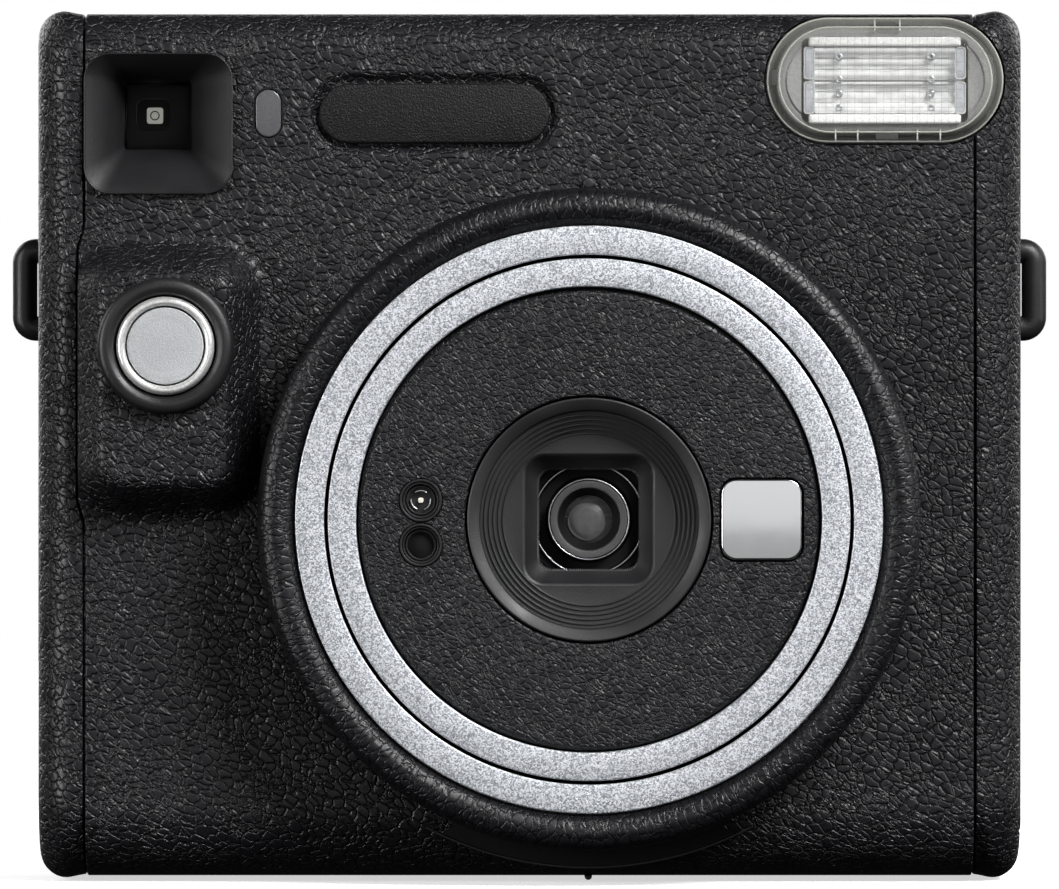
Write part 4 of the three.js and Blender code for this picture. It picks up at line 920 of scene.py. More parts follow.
def door_latch():
    """A ribbed thumb pad on the back, its stem through the slot, and the catch behind the door."""
    low, _ = limits("door_latch")
    back = REAR + GAP
    catch_width = 10.1
    pad = plate(LATCH_X, LATCH_Z, 9, 17, 2, back + 2.6, back, 0.9)
    ribs = [
        plate(LATCH_X, level, 5.8, 1.1, 0.5, back + 3.2, back + 2, 0.35)
        for level in range(51, 66, 3)
    ]
    join(pad, *ribs)
    stem = plate(LATCH_X, LATCH_Z, 2.4, 8, 0.4, back + 0.5, 21.5, 0)
    catch_x = (low[0] + catch_width + LATCH_X) / 2 + 0.1
    catch = plate(catch_x, LATCH_Z, catch_width, 14, 0.8, 22, low[1], 0.2)
    join(pad, stem, catch)
    piece("latch_slider", pad, "door_latch", "satin_black", "door_latch")


SCREW_RADIUS = 1
SCREW_HEAD_RADIUS = 2.2
SCREW_HEAD_HEIGHT = 0.8
SCREW_SLOT = (2.6, 0.5)


def case_screws():
    """Two cross-head screws in the base."""
    for number in (1, 2):
        node = f"case_screw_{number}"
        x, y, _ = middle(node)
        low, high = limits(node)
        outline = filleted([
            (0, low[2]),
            (SCREW_HEAD_RADIUS, low[2], 0.3),
            (SCREW_HEAD_RADIUS, low[2] + SCREW_HEAD_HEIGHT, 0.1),
            (SCREW_RADIUS, low[2] + SCREW_HEAD_HEIGHT + 0.1),
            (SCREW_RADIUS, high[2]),
            (0, high[2]),
        ], 3)
        screw = turned(outline, x, y, "z", 48)
        cross = [
            plate(x, y, width, depth, 0.1, low[2] - 0.5, low[2] + 0.4, 0, axis="z")
            for width, depth in (SCREW_SLOT, SCREW_SLOT[::-1])
        ]
        piece(f"screw_{number}", cut(screw, *cross), "body", "steel", node)


def strap_lugs():
    """A round bar bent into a loop on each side, most of it inside the pocket."""
    low, high = limits("strap_lug_right")
    bar = (high[1] - low[1]) / 2
    width, height = high[0] - low[0] - 2 * bar, high[2] - low[2] - 2 * bar
    path = resampled(rounded_rect((low[0] + high[0]) / 2, LUG_Z, width, height, 1.5), 96)
    for name, node, side in (("right", "strap_lug_right", 1), ("left", "strap_lug_left", -1)):
        loop = swept(path * (side, 1), bar)
        piece(f"strap_loop_{name}", loop, "body", "satin_black", node)


def half_space(z):
    """A block that holds everything just below this height near the lens axis."""
    return plate(LENS_X, z - 5, 8, 10, 0.1, -20, 10, 0)


def small_marks():
    """The arched mark over the dial and the half-round pip under the casing."""
    low, high = limits("index_mark")
    mark = rod(LENS_X, LENS_Z + COLLAR_RADIUS - 1.9, 0.75, low[1] - 0.1, high[1] + 0.6, 0.25)
    piece("dial_index", mark, "body", "satin_black", "index_mark")
    low, high = limits("foot_pip")
    pip = rod(LENS_X, high[2], (high[0] - low[0]) / 2, low[1], high[1], 0.15)
    piece("casing_pip", combine(pip, "INTERSECT", half_space(high[2])), "body", "rubber_black", "foot_pip")


# ---------------------------------------------------------------- lens dial and barrel

def lens_turned(corners, steps=5, facets=192):
    return turned(filleted(corners, steps), LENS_X, LENS_Z, facets=facets)


def hoop(inner, outer, front, back, edge):
    """The corners of a ring whose two front edges are rounded, ready to be turned."""
    return [(inner, back), (inner, front, edge), (outer, front, edge), (outer, back)]


def silver_ring(name, node, inner, body):
    low, high = limits(node)
    ring = lens_turned(hoop(inner, (high[0] - low[0]) / 2, low[1], high[1], 0.22), 4, 288)
    piece(name, ring, body, "silver_paint", node)


def lens_dial():
    low, high = limits("lens_dial_grip")
    radius = (high[0] - low[0]) / 2
    crest, back = low[1], high[1]
    seat = limits("outer_silver_ring")[1][1] + GAP
    inner = 39.75
    grip = lens_turned([
        (inner, seat),
        (inner, crest + 1.5, 0.25),
        (inner + 0.75, crest + 0.5, 0.6),
        (inner + 2.3, crest - 0.12, 1.9),
        (radius - 0.5, crest + 0.75, 2.0),
        (radius, crest + 2.9, 1.5),
        (radius, back, 0.5),
        (36, back),
        (36, seat),
    ], 8, 288)
    piece("dial_grip", grip, "lens_dial", "leather_black", "lens_dial_grip", look="leather_rolled")
    silver_ring("dial_silver_ring", "outer_silver_ring", 35.6, "lens_dial")


RIB_PITCH = 1.5
RIB_DEPTH = 0.25
SLEEVE_WALL = 2
SLEEVE_MOUTH = 16.7


def lens_barrel():
    """The inner silver ring, and the ribbed black sleeve that shows when the barrel is out."""
    silver_ring("barrel_silver_ring", "inner_silver_ring", 31.3, "lens_barrel")
    low, high = limits("barrel_tube")
    outer = (high[0] - low[0]) / 2
    front, back = low[1], high[1]
    ribs = []
    for level in np.arange(back - 2, front + 3, -RIB_PITCH):
        ribs += [
            (outer, level),
            (outer - RIB_DEPTH, level - 0.15),
            (outer - RIB_DEPTH, level - 0.5),
            (outer, level - 0.65),
        ]
    tube = [
        (SLEEVE_MOUTH, front),
        (outer, front, 0.3),
        *ribs[::-1],
        (outer, back),
        (outer - SLEEVE_WALL, back),
        (outer - SLEEVE_WALL, front + 1.5),
        (SLEEVE_MOUTH, front + 1.5),
    ]
    piece("barrel_sleeve", lens_turned(tube, 3, 256), "lens_barrel", "inner_black", "barrel_tube")


PORT_X = -22.6
PORTS = {"light_meter_lens": 2.6, "flash_meter_lens": -3.4}
PORT_RADIUS = 2.9
PORT_EDGE = 0.12
PORT_RING_WALL = 0.22
PORT_RING_EDGE = 0.06


def lens_face():
    low, high = limits("lens_face")
    radius = (high[0] - low[0]) / 2
    front, back = low[1], high[1]
    face = lens_turned([
        (16.65, back),
        (16.65, front, 0.35),
        (radius, front, 1.9),
        (radius, back),
    ], 8, 288)
    x, _, z = middle("selfie_mirror")
    side = 10.8 + 2 * GAP
    through = (front - 1, back + 1)
    holes = [
        rod(LENS_X + PORT_X, LENS_Z + dz, PORT_RADIUS + PORT_EDGE, *through, 0, facets=64)
        for dz in PORTS.values()
    ]
    cut(face, plate(x, z, side, side, 2.2, *through, 0), *holes)
    piece("face_plate", face, "lens_barrel", "leather_black", "lens_face", look="leather_fine")


def port_turned(corners, dz, facets=72):
    """An outline turned about the middle of the port at this height from the lens axis."""
    return turned(filleted(corners, 3), LENS_X + PORT_X, LENS_Z + dz, facets=facets)


def port_well(name, node, floor, rings):
    """A stepped black well with thin rings in it, behind a port of the lens face."""
    front = limits("lens_face")[0][1] + PORT_EDGE
    back = limits("lens_face")[1][1]
    corners = [
        (0, back),
        (PORT_RADIUS, back),
        (PORT_RADIUS, front, PORT_EDGE),
        (PORT_RADIUS - 0.35, front, 0.1),
    ]
    for radius, depth, lip in rings:
        ring = hoop(radius + PORT_RING_WALL, radius, front + depth, front + depth + lip, PORT_RING_EDGE)
        corners += ring
    corners += [(rings[-1][0], floor), (0, floor)]
    piece(name, port_turned(corners, PORTS[node]), "lens_barrel", "satin_black", node)


def port_wells():
    back = limits("lens_face")[1][1]
    port_well("light_meter_port", "light_meter_lens", back - 0.15, [(2.2, 0.25, 0.35), (1.75, 0.75, 0.3)])
    port_well("flash_meter_port", "flash_meter_lens", back - 0.05, [(2.25, 0.3, 0.4), (1.85, 0.9, 0.4)])


def light_meter():
    """The ring in three parts and the diode at the foot of the upper port."""
    front = limits("lens_face")[0][1]
    back = limits("lens_face")[1][1]
    dz = PORTS["light_meter_lens"]
    x, z = LENS_X + PORT_X, LENS_Z + dz
    inner, outer = 1.22, 1.38
    between = (inner + outer) / 2
    ring = port_turned(hoop(inner, outer, front + 0.9, front + 1.75, 0.05), dz)
    gaps = [
        plate(x + between * math.sin(angle), z + between * math.cos(angle), 0.9, 0.9, 0.2, front, back, 0)
        for angle in np.radians([60, 180, 300])
    ]
    piece("light_meter_ring", cut(ring, *gaps), "lens_barrel", "satin_metal", look="steel")
    diode = plate(x, z, 0.72, 0.72, 0.25, front + 1.0, back - 0.1, 0.12)
    piece("light_meter_diode", diode, "lens_barrel", "white_plastic")


def flash_meter():
    """The low cone of dark glass at the foot of the lower port."""
    back = limits("lens_face")[1][1]
    corners = [(0, back - 0.05), (1.7, back - 0.05), (1.7, back - 0.25, 0.05), (0, back - 0.5)]
    glass = port_turned(corners, PORTS["flash_meter_lens"], 64)
    piece("flash_meter_glass", glass, "lens_barrel", "dark_glass", look="inner_black")


HOOD_MOUTH = 14.6
HOOD_FLOOR_RADIUS = 11.5
HOOD_FLOOR = -27.0
SQUARE_MOUTH = 17.3
SQUARE_INNER = 13.9
HOOD_BACK = -22.6
HOOD_STEPS = 5
STEP_EDGE = 0.05


def hood_steps(front):
    """The corners of the baffle steps that lead from this level down to the floor."""
    pitch = (HOOD_MOUTH - HOOD_FLOOR_RADIUS) / HOOD_STEPS
    drop = (HOOD_FLOOR - front) / HOOD_STEPS
    corners = []
    for step in range(HOOD_STEPS):
        outer = HOOD_MOUTH - step * pitch
        level = front + step * drop
        corners += [
            (outer, level, STEP_EDGE),
            (outer, level + drop, STEP_EDGE),
            (outer - 0.6 * pitch, level + drop, STEP_EDGE),
            (outer - 0.7 * pitch, level + 0.75 * drop, STEP_EDGE),
            (outer - pitch, level + 0.75 * drop, STEP_EDGE),
        ]
    return corners


def square_well():
    """The cutter for the square opening: a rounded rim, then a slope down to straight walls."""
    rim = [
        (0.9, 3.1, -0.3),
        (0.55, 2.95, 0.01),
        (0.2, 2.8, 0.08),
        (-0.15, 2.65, 0.24),
        (-0.4, 2.55, 0.48),
        (-0.6, 2.5, 0.8),
    ]
    levels = [(SQUARE_MOUTH + grow, radius, HOOD_FLOOR + depth) for grow, radius, depth in rim]
    levels += [(SQUARE_INNER, 1.9, HOOD_FLOOR + 2.4), (SQUARE_INNER, 1.9, HOOD_BACK + 1)]
    return lofted([
        (rounded_rect(LENS_X, LENS_Z, side, side, radius), level)
        for side, radius, level in levels
    ])


def lens_hood():
    """The hood: a chamfered rim, baffle steps, and a square opening in their floor."""
    low, high = limits("lens_hood")
    radius = (high[0] - low[0]) / 2
    front = low[1]
    corners = [
        (0, HOOD_BACK),
        (radius, HOOD_BACK),
        (radius, front, 0.25),
        (HOOD_MOUTH + 0.15, front + 0.88, 0.4),
        *hood_steps(front + 1.3),
        (HOOD_FLOOR_RADIUS, HOOD_FLOOR, 0.1),
        (0, HOOD_FLOOR),
    ]
    hood = cut(lens_turned(corners, 3), square_well())
    piece("hood_shell", hood, "lens_barrel", "satin_black", "lens_hood", look="hood_black")


def hood_serration():
    """The fine saw-tooth edge round the square well."""
    side, teeth, depth = SQUARE_INNER, 44, 0.28
    outline = resampled(rounded_rect(LENS_X, LENS_Z, side - 0.1, side - 0.1, 1.85), 4 * teeth * 2)
    centre = np.array([LENS_X, LENS_Z])
    inner = outline.copy()
    inner[::2] = centre + (inner[::2] - centre) * (1 - 2 * depth / side)
    inner[1::2] = centre + (inner[1::2] - centre) * (1 - 0.3 * depth / side)
    grown = centre + (outline - centre) * (1 + 0.1 / side)
    front = HOOD_FLOOR + 2.55
    sections = [(grown, front), (inner, front + 0.2), (inner, front + 0.7), (grown, front + 0.9)]
    teeth_ring = lofted(sections, closed=True)
    piece("hood_serration", teeth_ring, "lens_barrel", "satin_black", look="retainer_grey")


SEAT_FRONT = -22.5
BEAD_RADIUS = 0.09


def lens_seat():
    """The stepped ring behind the square opening, and the two bright beads on and inside it."""
    back = limits("lens_hood")[1][1]
    ring_front = limits("lens_ring")[0][1]
    seat = lens_turned([
        (5.6, back),
        (8.6, back),
        (8.6, SEAT_FRONT, 0.1),
        (7.75, SEAT_FRONT, 0.1),
        (7.6, SEAT_FRONT - 0.4, 0.1),
        (7.3, SEAT_FRONT - 0.4, 0.1),
        (7.1, SEAT_FRONT + 0.5, 0.1),
        (5.9, SEAT_FRONT + 0.3, 0.2),
        (5.6, SEAT_FRONT + 0.8),
    ], 3)
    piece("lens_seat", seat, "lens_barrel", "satin_black", look="inner_black")
    for name, radius, level in (("outer", 7.45, SEAT_FRONT - 0.4), ("inner", 5.4, ring_front + 0.3)):
        outline = hoop(radius - BEAD_RADIUS, radius + BEAD_RADIUS, level - 0.1, level + 0.2, 0.06)
        bead = lens_turned(outline, 3)
        piece(f"lens_bead_{name}", bead, "lens_barrel", "satin_metal", look="steel")


def lens_retainer():
    """The grey ring that holds the lens, and the black cone between that ring and the glass."""
    back = limits("lens_hood")[1][1]
    front = limits("lens_ring")[0][1]
    inner, outer = 4.15, 5.2
    ring = lens_turned([
        (inner, back),
        (outer, back),
        (outer, front + 0.1, 0.08),
        (inner + 0.15, front + 0.2, 0.1),
        (inner, front + 0.6),
    ], 3)
    piece("lens_retainer", ring, "lens_barrel", "satin_black", "lens_ring", look="retainer_grey")
    cone = lens_turned([(3.2, back), (4.14, back), (4.14, front + 0.5), (3.2, front + 1.9)], 3)
    piece("lens_cone", cone, "lens_barrel", "satin_black", look="inner_black")


def lens_elements():
    """The domed front glass, and behind it, off the axis, an inner element in pale grey: a painted
    reflection that shows through the glass.
    """
    front = limits("lens_ring")[0][1] + 1.5
    back = front + 1.2
    radius, bulge, sweep = 3.0, 0.8, 1.1
    dome = [(0, front - 0.1)]
    for angle in np.linspace(0.1, sweep, 10):
        level = front - 0.1 + bulge * (1 - math.cos(angle)) / (1 - math.cos(sweep))
        dome.append((radius * math.sin(angle), level))
    glass = turned(np.array(dome + [(3.15, back), (0, back)]), LENS_X, LENS_Z, facets=96)
    piece("lens_glass_front", glass, "lens_barrel", "dark_glass", "front_lens", look="lens_glass")
    outline = filleted([
        (0, front + 0.35),
        (1.8, front + 0.5, 1.5),
        (2.55, front + 0.8, 0.1),
        (2.55, back),
        (0, back),
    ], 6)
    inner = turned(outline, LENS_X - 0.3, LENS_Z - 0.3, facets=96)
    # Painted reflection: this element's pale grey, set off the axis, stands in for a reflection inside the
    # lens.
    piece("lens_inner_element", inner, "lens_barrel", "dark_glass", look="element_painted_reflection")


MIRROR_BALL = 90  # radius of the ball that the mirror's face is part of
MIRROR_EDGE = 0.12


def selfie_mirror():
    """A small domed mirror in a black tray."""
    low, high = limits("selfie_mirror")
    x, _, z = middle("selfie_mirror")
    side = high[0] - low[0]
    crest = low[1] - 0.05
    tray = plate(x, z, side + 0.45, side + 0.45, 2.1, high[1] - 0.6, high[1] + 0.2, 0.1)
    piece("mirror_tray", tray, "lens_barrel", "inner_black")
    outline = resampled(rounded_rect(x, z, side, side, 1.9), 240)
    centre = np.array([x, z])

    def ring(share, lower=0.0):
        points = centre + (outline - centre) * share
        sag = np.sum((points - centre) ** 2, axis=1) / (2 * MIRROR_BALL)
        return np.column_stack([points[:, 0], crest + sag + lower, points[:, 1]])

    rings = [placed(outline, high[1] - 0.7), ring(1.0, MIRROR_EDGE)]
    for share in (0.4, 1.0):
        rings.append(ring(1 - 2 * MIRROR_EDGE / side * share, MIRROR_EDGE * (1 - share) ** 2))
    rings += [ring(share) for share in np.linspace(0.95, 0.02, 20)]
    piece("mirror_glass", skinned(rings), "lens_barrel", "mirror_silver", "selfie_mirror")


# ---------------------------------------------------------------- shutter button

def shutter_turned(corners):
    return turned(filleted(corners, 6), SHUTTER_X, SHUTTER_Z, facets=144)


def shutter_button():
    low, high = limits("shutter_collar")
    radius, crest = (high[0] - low[0]) / 2, low[1]
    collar = shutter_turned([
        (6.9, high[1]), (6.9, crest + 0.75, 0.12), (7.15, crest + 0.35, 0.25), (7.9, crest - 0.06, 1.0),
        (radius - 0.25, crest + 0.25, 1.25), (radius, crest + 1.85, 0.2),
        (7.6, crest + 1.85), (7.6, high[1]),
    ])
    piece("button_collar", collar, "body", "satin_black", "shutter_collar")
    low, high = limits("shutter_trim_ring")
    crest = low[1]
    trim = shutter_turned([
        (5.4, high[1]), (5.4, crest + 0.55, 0.2), (5.65, crest, 0.4), (6.3, crest, 0.45),
        (6.62, crest + 0.6, 0.3), (6.6, high[1]),
    ])
    piece("button_trim", trim, "body", "bright_trim", "shutter_trim_ring")
    low, high = limits("shutter_button")
    cap = low[1]
    button = shutter_turned([
        (0, cap + 0.14), (3.6, cap + 0.1, 2.0), (5.2, cap + 0.02, 0.18), (5.2, cap + 3.3),
        (1.8, cap + 3.3), (1.8, high[1], 0.3), (0, high[1]),
    ])
    piece("button_cap", button, "shutter_button", "satin_metal", "shutter_button")


# ---------------------------------------------------------------- finder, plate and sensor

FINDER_TUNNEL = 9.2
FINDER_TUBE = 12.4
FINDER_INSIDE = 9.0
FINDER_THROAT = -8.0
FUNNEL_CURVE = 1.9  # the higher, the sooner the funnel narrows


def finder_eye(side, radius):
    return rounded_rect(EYE_X, EYE_Z, side, side, radius)


def finder_frame():
    """The viewfinder's raised rim, funnel and tunnel in one closed skin."""
    low, high = limits("viewfinder_bezel")
    width, height, corner = high[0] - low[0], 19.1, 3.6
    front, back = low[1], high[1]
    face = FRONT - GAP

    def rim(inset):
        return rounded_rect(FINDER_X, FINDER_Z, width - 2 * inset, height - 2 * inset, corner - inset)

    tube, floor, mouth = finder_eye(FINDER_TUBE, 0.6), finder_eye(FINDER_TUNNEL, 0.5), rim(0.2)
    sections = [
        (tube, back),
        (tube, FINDER_THROAT),
        (rim(0.5), FINDER_THROAT),
        (rim(0.5), face),
        (rim(0), face),
    ]
    for inset, lift in ((0, 0.14), (0.04, 0.04), (0.1, 0), (0.16, 0.03), (0.2, 0.12)):
        sections.append((rim(inset), front + lift))
    for share in (0.01, 0.04, *np.linspace(0, 1, 13)[1:]):
        level = front + 0.12 + (FINDER_THROAT - 0.8 - front) * share
        narrowed = 1 - (1 - share) ** FUNNEL_CURVE
        sections.append((mouth + (floor - mouth) * narrowed, level))
    sections.append((floor, back))
    piece("finder_frame", lofted(sections, closed=True), "body", "satin_black", "viewfinder_bezel")


def finder_optics():
    """The finder's pane, and behind it a mask, a pale target with its ring, and a blind."""
    front = limits("viewfinder_front_lens")[0][1]
    pane = plate(EYE_X, EYE_Z, 8.6, 8.6, 0.6, front, front + 1.8, 0.5)
    piece("finder_pane", pane, "body", "dark_glass", "viewfinder_front_lens", look="window_glass")
    width, height = 4.6, 4.2
    x, z = EYE_X - 0.9, EYE_Z + 0.5
    mask = plate(EYE_X, EYE_Z, FINDER_INSIDE, FINDER_INSIDE, 0.5, 0, 1.2, 0.05)
    opening = plate(x, z, width, height, 1.1, -1, 3, 0)
    lip = plate(x, z, width + 0.4, height + 0.4, 1.2, -0.3, 0.2, 0.15)
    join(mask, lip)
    piece("finder_mask", cut(mask, opening), "body", "satin_black")
    target = plate(x, z, 2.2, 2.2, 0.35, 7, 8, 0.05)
    piece("finder_target", target, "body", "white_plastic", look="finder_light")
    circle = turned(filleted(hoop(0.5, 0.66, 6.85, 7.1, 0)), x, z, facets=48)
    piece("finder_target_ring", circle, "body", "inner_black")
    blind = plate(EYE_X, EYE_Z, FINDER_INSIDE, FINDER_INSIDE, 0.5, 8.2, 9, 0)
    piece("finder_blind", blind, "body", "inner_black")


def eyepiece():
    low, high = limits("viewfinder_eyepiece")
    x, _, z = middle("viewfinder_eyepiece")
    width, height = high[0] - low[0], high[2] - low[2]
    cup = plate(x, z, width, height, 3.2, high[1], low[1], 1.6, 0.2)
    sections = [(rounded_rect(x, z, w, h, r), y) for w, h, r, y in (
        (13, 11, 2.6, high[1] + 1),
        (12.4, 10.4, 2.4, high[1] - 0.1),
        (9.4, 7.4, 1.5, high[1] - 2.4),
        (9.2, 7.2, 1.5, low[1] - 1),
    )]
    piece("eyepiece_cup", cut(cup, lofted(sections)), "body", "rubber_black", "viewfinder_eyepiece")


def name_plate():
    low, high = limits("name_plate")
    made = plate(PLATE_X, PLATE_Z, high[0] - low[0], high[2] - low[2], 10, low[1], high[1], 0.4, steps=24)
    piece("blank_plate", made, "body", "satin_black", "name_plate", look="plate_black")


def sensor_window():
    low, high = limits("light_sensor_window")
    width, height = high[0] - low[0], high[2] - low[2]
    made = plate(SENSOR_X, SENSOR_Z, width, height, 5, FRONT + 0.12, high[1], 0.25, steps=16)
    piece("sensor_pane", made, "body", "dark_glass", "light_sensor_window", look="sensor_smoke")
    rim_out = rounded_rect(SENSOR_X, SENSOR_Z, width + 0.55, height + 0.55, 5, 16)
    rim_in = rounded_rect(SENSOR_X, SENSOR_Z, width + 0.3, height + 0.3, 5, 16)
    ring = [(rim_out, FRONT + 1.8), (rim_out, FRONT + 0.05), (rim_in, FRONT + 0.05), (rim_in, FRONT + 1.8)]
    piece("sensor_rim", lofted(ring, closed=True), "body", "satin_black")


# ---------------------------------------------------------------- flash

def flash_outline(width, height):
    return rounded_rect(FLASH_X, FLASH_Z, width, height, height, 24)


FLASH_TOP_WIDTH = 28.3
FLASH_TOP_HEIGHT = 13.7


FLASH_WALL = 0.9
FLASH_DROP = 1.9  # from the flat front back to the foot of the rim


def flash_levels(width, height, front, back):
    """Sections of the cover's outside: a flat front, a sloping rim, and a straight foot."""
    top = [(-0.7, 0), (-0.1, 0.08), (0.5, 0.3)]
    foot = [(-0.7, FLASH_DROP - 0.3), (-0.15, FLASH_DROP), (0, FLASH_DROP + 0.3)]
    inset = 2 * (front - limits("flash_cover")[0][1])
    top_width, top_height = FLASH_TOP_WIDTH - inset, FLASH_TOP_HEIGHT - inset
    sections = [(flash_outline(top_width + grow, top_height + grow), front + drop) for grow, drop in top]
    sections += [(flash_outline(width + grow, height + grow), front + drop) for grow, drop in foot]
    return sections + [(flash_outline(width, height), back)]


def flash_loop(name, width, height, profile, slot, look):
    """A closed band round the flash, through (growth, level) pairs of its section."""
    sections = [(flash_outline(width + grow, height + grow), level) for grow, level in profile]
    piece(name, lofted(sections, closed=True), "body", slot, look=look)


def flash_cover():
    """The clear cover: a flat front whose smoky rim slopes back to the casing."""
    low, high = limits("flash_cover")
    width, height, front, back = high[0] - low[0], high[2] - low[2], low[1], high[1]
    outside = flash_levels(width, height, front, back)
    inside = flash_levels(width - 2 * FLASH_WALL, height - 2 * FLASH_WALL, front + FLASH_WALL, back)
    piece("flash_window", lofted(outside + inside[::-1]), "body", "clear_smoke", "flash_cover")
    flash_clips(front + FLASH_WALL + 0.3, width, height)
    # Pale bands at the edge of the flat front and at the rim's foot: painted highlights on the cover's
    # edges.
    for name, band_width, band_height, level in (
        ("plateau", FLASH_TOP_WIDTH + 0.5, FLASH_TOP_HEIGHT + 0.5, front + 0.12),
        ("foot", width - 0.35, height - 0.35, front + FLASH_DROP - 0.1),
    ):
        profile = [(0, level - 0.06), (0.22, level + 0.04), (0.1, level + 0.18), (-0.22, level + 0.04)]
        flash_loop(f"flash_edge_{name}", band_width, band_height, profile, "clear_smoke", "cover_edge_glint")
    well = [(-2.1, back + 0.25), (0.1, back + 0.25), (0.1, back + 1.2), (-2.1, back + 1.2)]
    flash_loop("flash_well", width, height, well, "inner_black", "smoke_block")


# How far each fin is to the right of the middle, and whether it is above (1) or below (-1).
FLASH_FINS = [(-1.4, 1), (2.0, 1), (-6.7, -1), (-3.7, -1), (4.4, -1), (7.5, -1)]


def flash_clips(front, width, height):
    """The thin fins and the dark catches that show through the rim above, below and at the left."""
    rim_z = (height + FLASH_TOP_HEIGHT) / 4 - 0.2
    rim_x = (width + FLASH_TOP_WIDTH) / 4 - 0.2
    for number, (dx, side) in enumerate(FLASH_FINS, 1):
        fin = plate(FLASH_X + dx, FLASH_Z + side * rim_z, 0.2, 1.7, 0.08, front + 0.7, front + 3, 0.06)
        piece(f"flash_fin_{number}", fin, "body", "flash_glass", look="clear_edge")
    catches = [(0.3, rim_z, 2.6, 1.3), (0.3, -rim_z, 3.0, 1.3), (-rim_x, 0.3, 1.0, 2.2)]
    for number, (dx, dz, wide, tall) in enumerate(catches, 1):
        catch = plate(FLASH_X + dx, FLASH_Z + dz, wide, tall, 0.3, front + 1.2, front + 3, 0.2)
        piece(f"flash_catch_{number}", catch, "body", "grey_panel", look="smoke_block")


def flash_housing():
    """The grey panel behind the cover, with its window for the reflector."""
    low, high = limits("flash_housing")
    width, height = high[0] - low[0], high[2] - low[2]
    front, back = low[1], high[1]

    def prism(inset, *levels):
        return [(flash_outline(width - inset, height - inset), level) for level in levels]

    panel = lofted(prism(0, back, front + 0.5) + prism(0.3, front + 0.1) + prism(0.9, front))
    groove = cut(lofted(prism(2.4, front - 1, front + 0.25)), lofted(prism(3.0, front - 2, front + 1)))
    tube_y = middle("flash_tube")[1]
    cut(
        panel,
        groove,
        plate(FLASH_X, FLASH_Z, 22.6, 11.4, 0.8, front - 2, back + 1, 0),
        rod(tube_y, FLASH_Z, 1.6, FLASH_X - 13.5, FLASH_X + 13.5, 0, axis="x"),
    )
    piece("flash_panel", panel, "body", "grey_panel", "flash_housing")


REFLECTOR_WIDTH = 19.0
REFLECTOR_HEIGHT = 9.0
RIDGES = 6


WING_WIDTH = 1.5
WING_HEIGHT = 4.4


def flash_trough(front):
    """The silver trough, its bottom ridged along the whole width."""
    x0, x1 = FLASH_X - REFLECTOR_WIDTH / 2, FLASH_X + REFLECTOR_WIDTH / 2
    bottom = FLASH_Z - REFLECTOR_HEIGHT / 2
    face = []
    for share in np.linspace(0, 1, RIDGES * 10 + 1):
        ridge = abs(math.sin(math.pi * RIDGES * share))
        trough = 1 - (2 * share - 1) ** 2
        face.append((front + 0.5 + 1.7 * trough - 0.75 * ridge ** 0.6, bottom + REFLECTOR_HEIGHT * share))
    back = [(y + 0.6, z) for y, z in face[::-1]]
    outline = np.array(face + back)
    made = lofted([(outline, x0), (outline, x1)], "x")
    piece("flash_trough", made, "body", "bright_trim", "flash_reflector", look="reflector_silver")


def flash_wing(name, x, z, front):
    """One clear block at an end of the trough, with a pale rim round its front: a painted highlight on the
    block's edge.
    """
    wing = plate(x, z, WING_WIDTH, WING_HEIGHT, 0.4, front + 0.3, front + 3, 0.3)
    piece(f"flash_wing_{name}", wing, "body", "flash_glass", look="clear_wing")
    # Painted highlight: a pale band round the clear block's front edge.
    profile = [(0, front + 0.6), (0, front + 0.25), (0.3, front + 0.25), (0.3, front + 0.6)]
    rim = [
        (rounded_rect(x, z, WING_WIDTH - inset, WING_HEIGHT - inset, 0.4), level)
        for inset, level in profile
    ]
    piece(f"flash_wing_rim_{name}", lofted(rim, closed=True), "body", "flash_glass", look="clear_edge")


def flash_dimples(front):
    """Small rings in two columns on the trough, where its ridges are pinned."""
    outline = filleted([
        (0.2, front + 0.9),
        (0.2, front + 0.1, 0.1),
        (0.5, front + 0.1, 0.2),
        (0.6, front + 1.2),
    ], 4)
    spots = [(dx, dz) for dx in (-6.2, 6.3) for dz in (-3.75, -1.85, 0.1, 3.2)]
    for number, (dx, dz) in enumerate(spots, 1):
        dimple = turned(outline, FLASH_X + dx, FLASH_Z + dz, facets=32)
        piece(f"flash_dimple_{number}", dimple, "body", "bright_trim", look="steel")


def flash_reflector():
    """The trough between two white bars and four clear wings, behind a ruled pane."""
    front = limits("flash_reflector")[0][1] + 0.6
    flash_trough(front)
    for name, side in (("top", 1), ("bottom", -1)):
        z = FLASH_Z + side * (REFLECTOR_HEIGHT / 2 + 0.75)
        bar = plate(FLASH_X, z, 20.6, 1.25, 0.3, front - 0.3, front + 2.5, 0.35)
        piece(f"flash_bar_{name}", bar, "body", "white_plastic", look="reflector_white")
    for end, side in (("left", -1), ("right", 1)):
        x = FLASH_X + side * (REFLECTOR_WIDTH + WING_WIDTH) / 2
        flash_wing(f"{end}_upper", x, FLASH_Z + 2.35, front)
        flash_wing(f"{end}_lower", x, FLASH_Z - 2.35, front)
    parting = plate(FLASH_X, FLASH_Z - 0.05, REFLECTOR_WIDTH, 0.22, 0.1, front + 0.2, front + 1, 0.05)
    piece("flash_parting", parting, "body", "grey_panel", look="smoke_block")
    flash_dimples(front)
    pane = plate(FLASH_X, FLASH_Z, 20.9, 11.9, 0.6, front - 0.95, front - 0.45, 0.1)
    piece("flash_pane", pane, "body", "flash_glass")


# ---------------------------------------------------------------- CAD nodes that stay

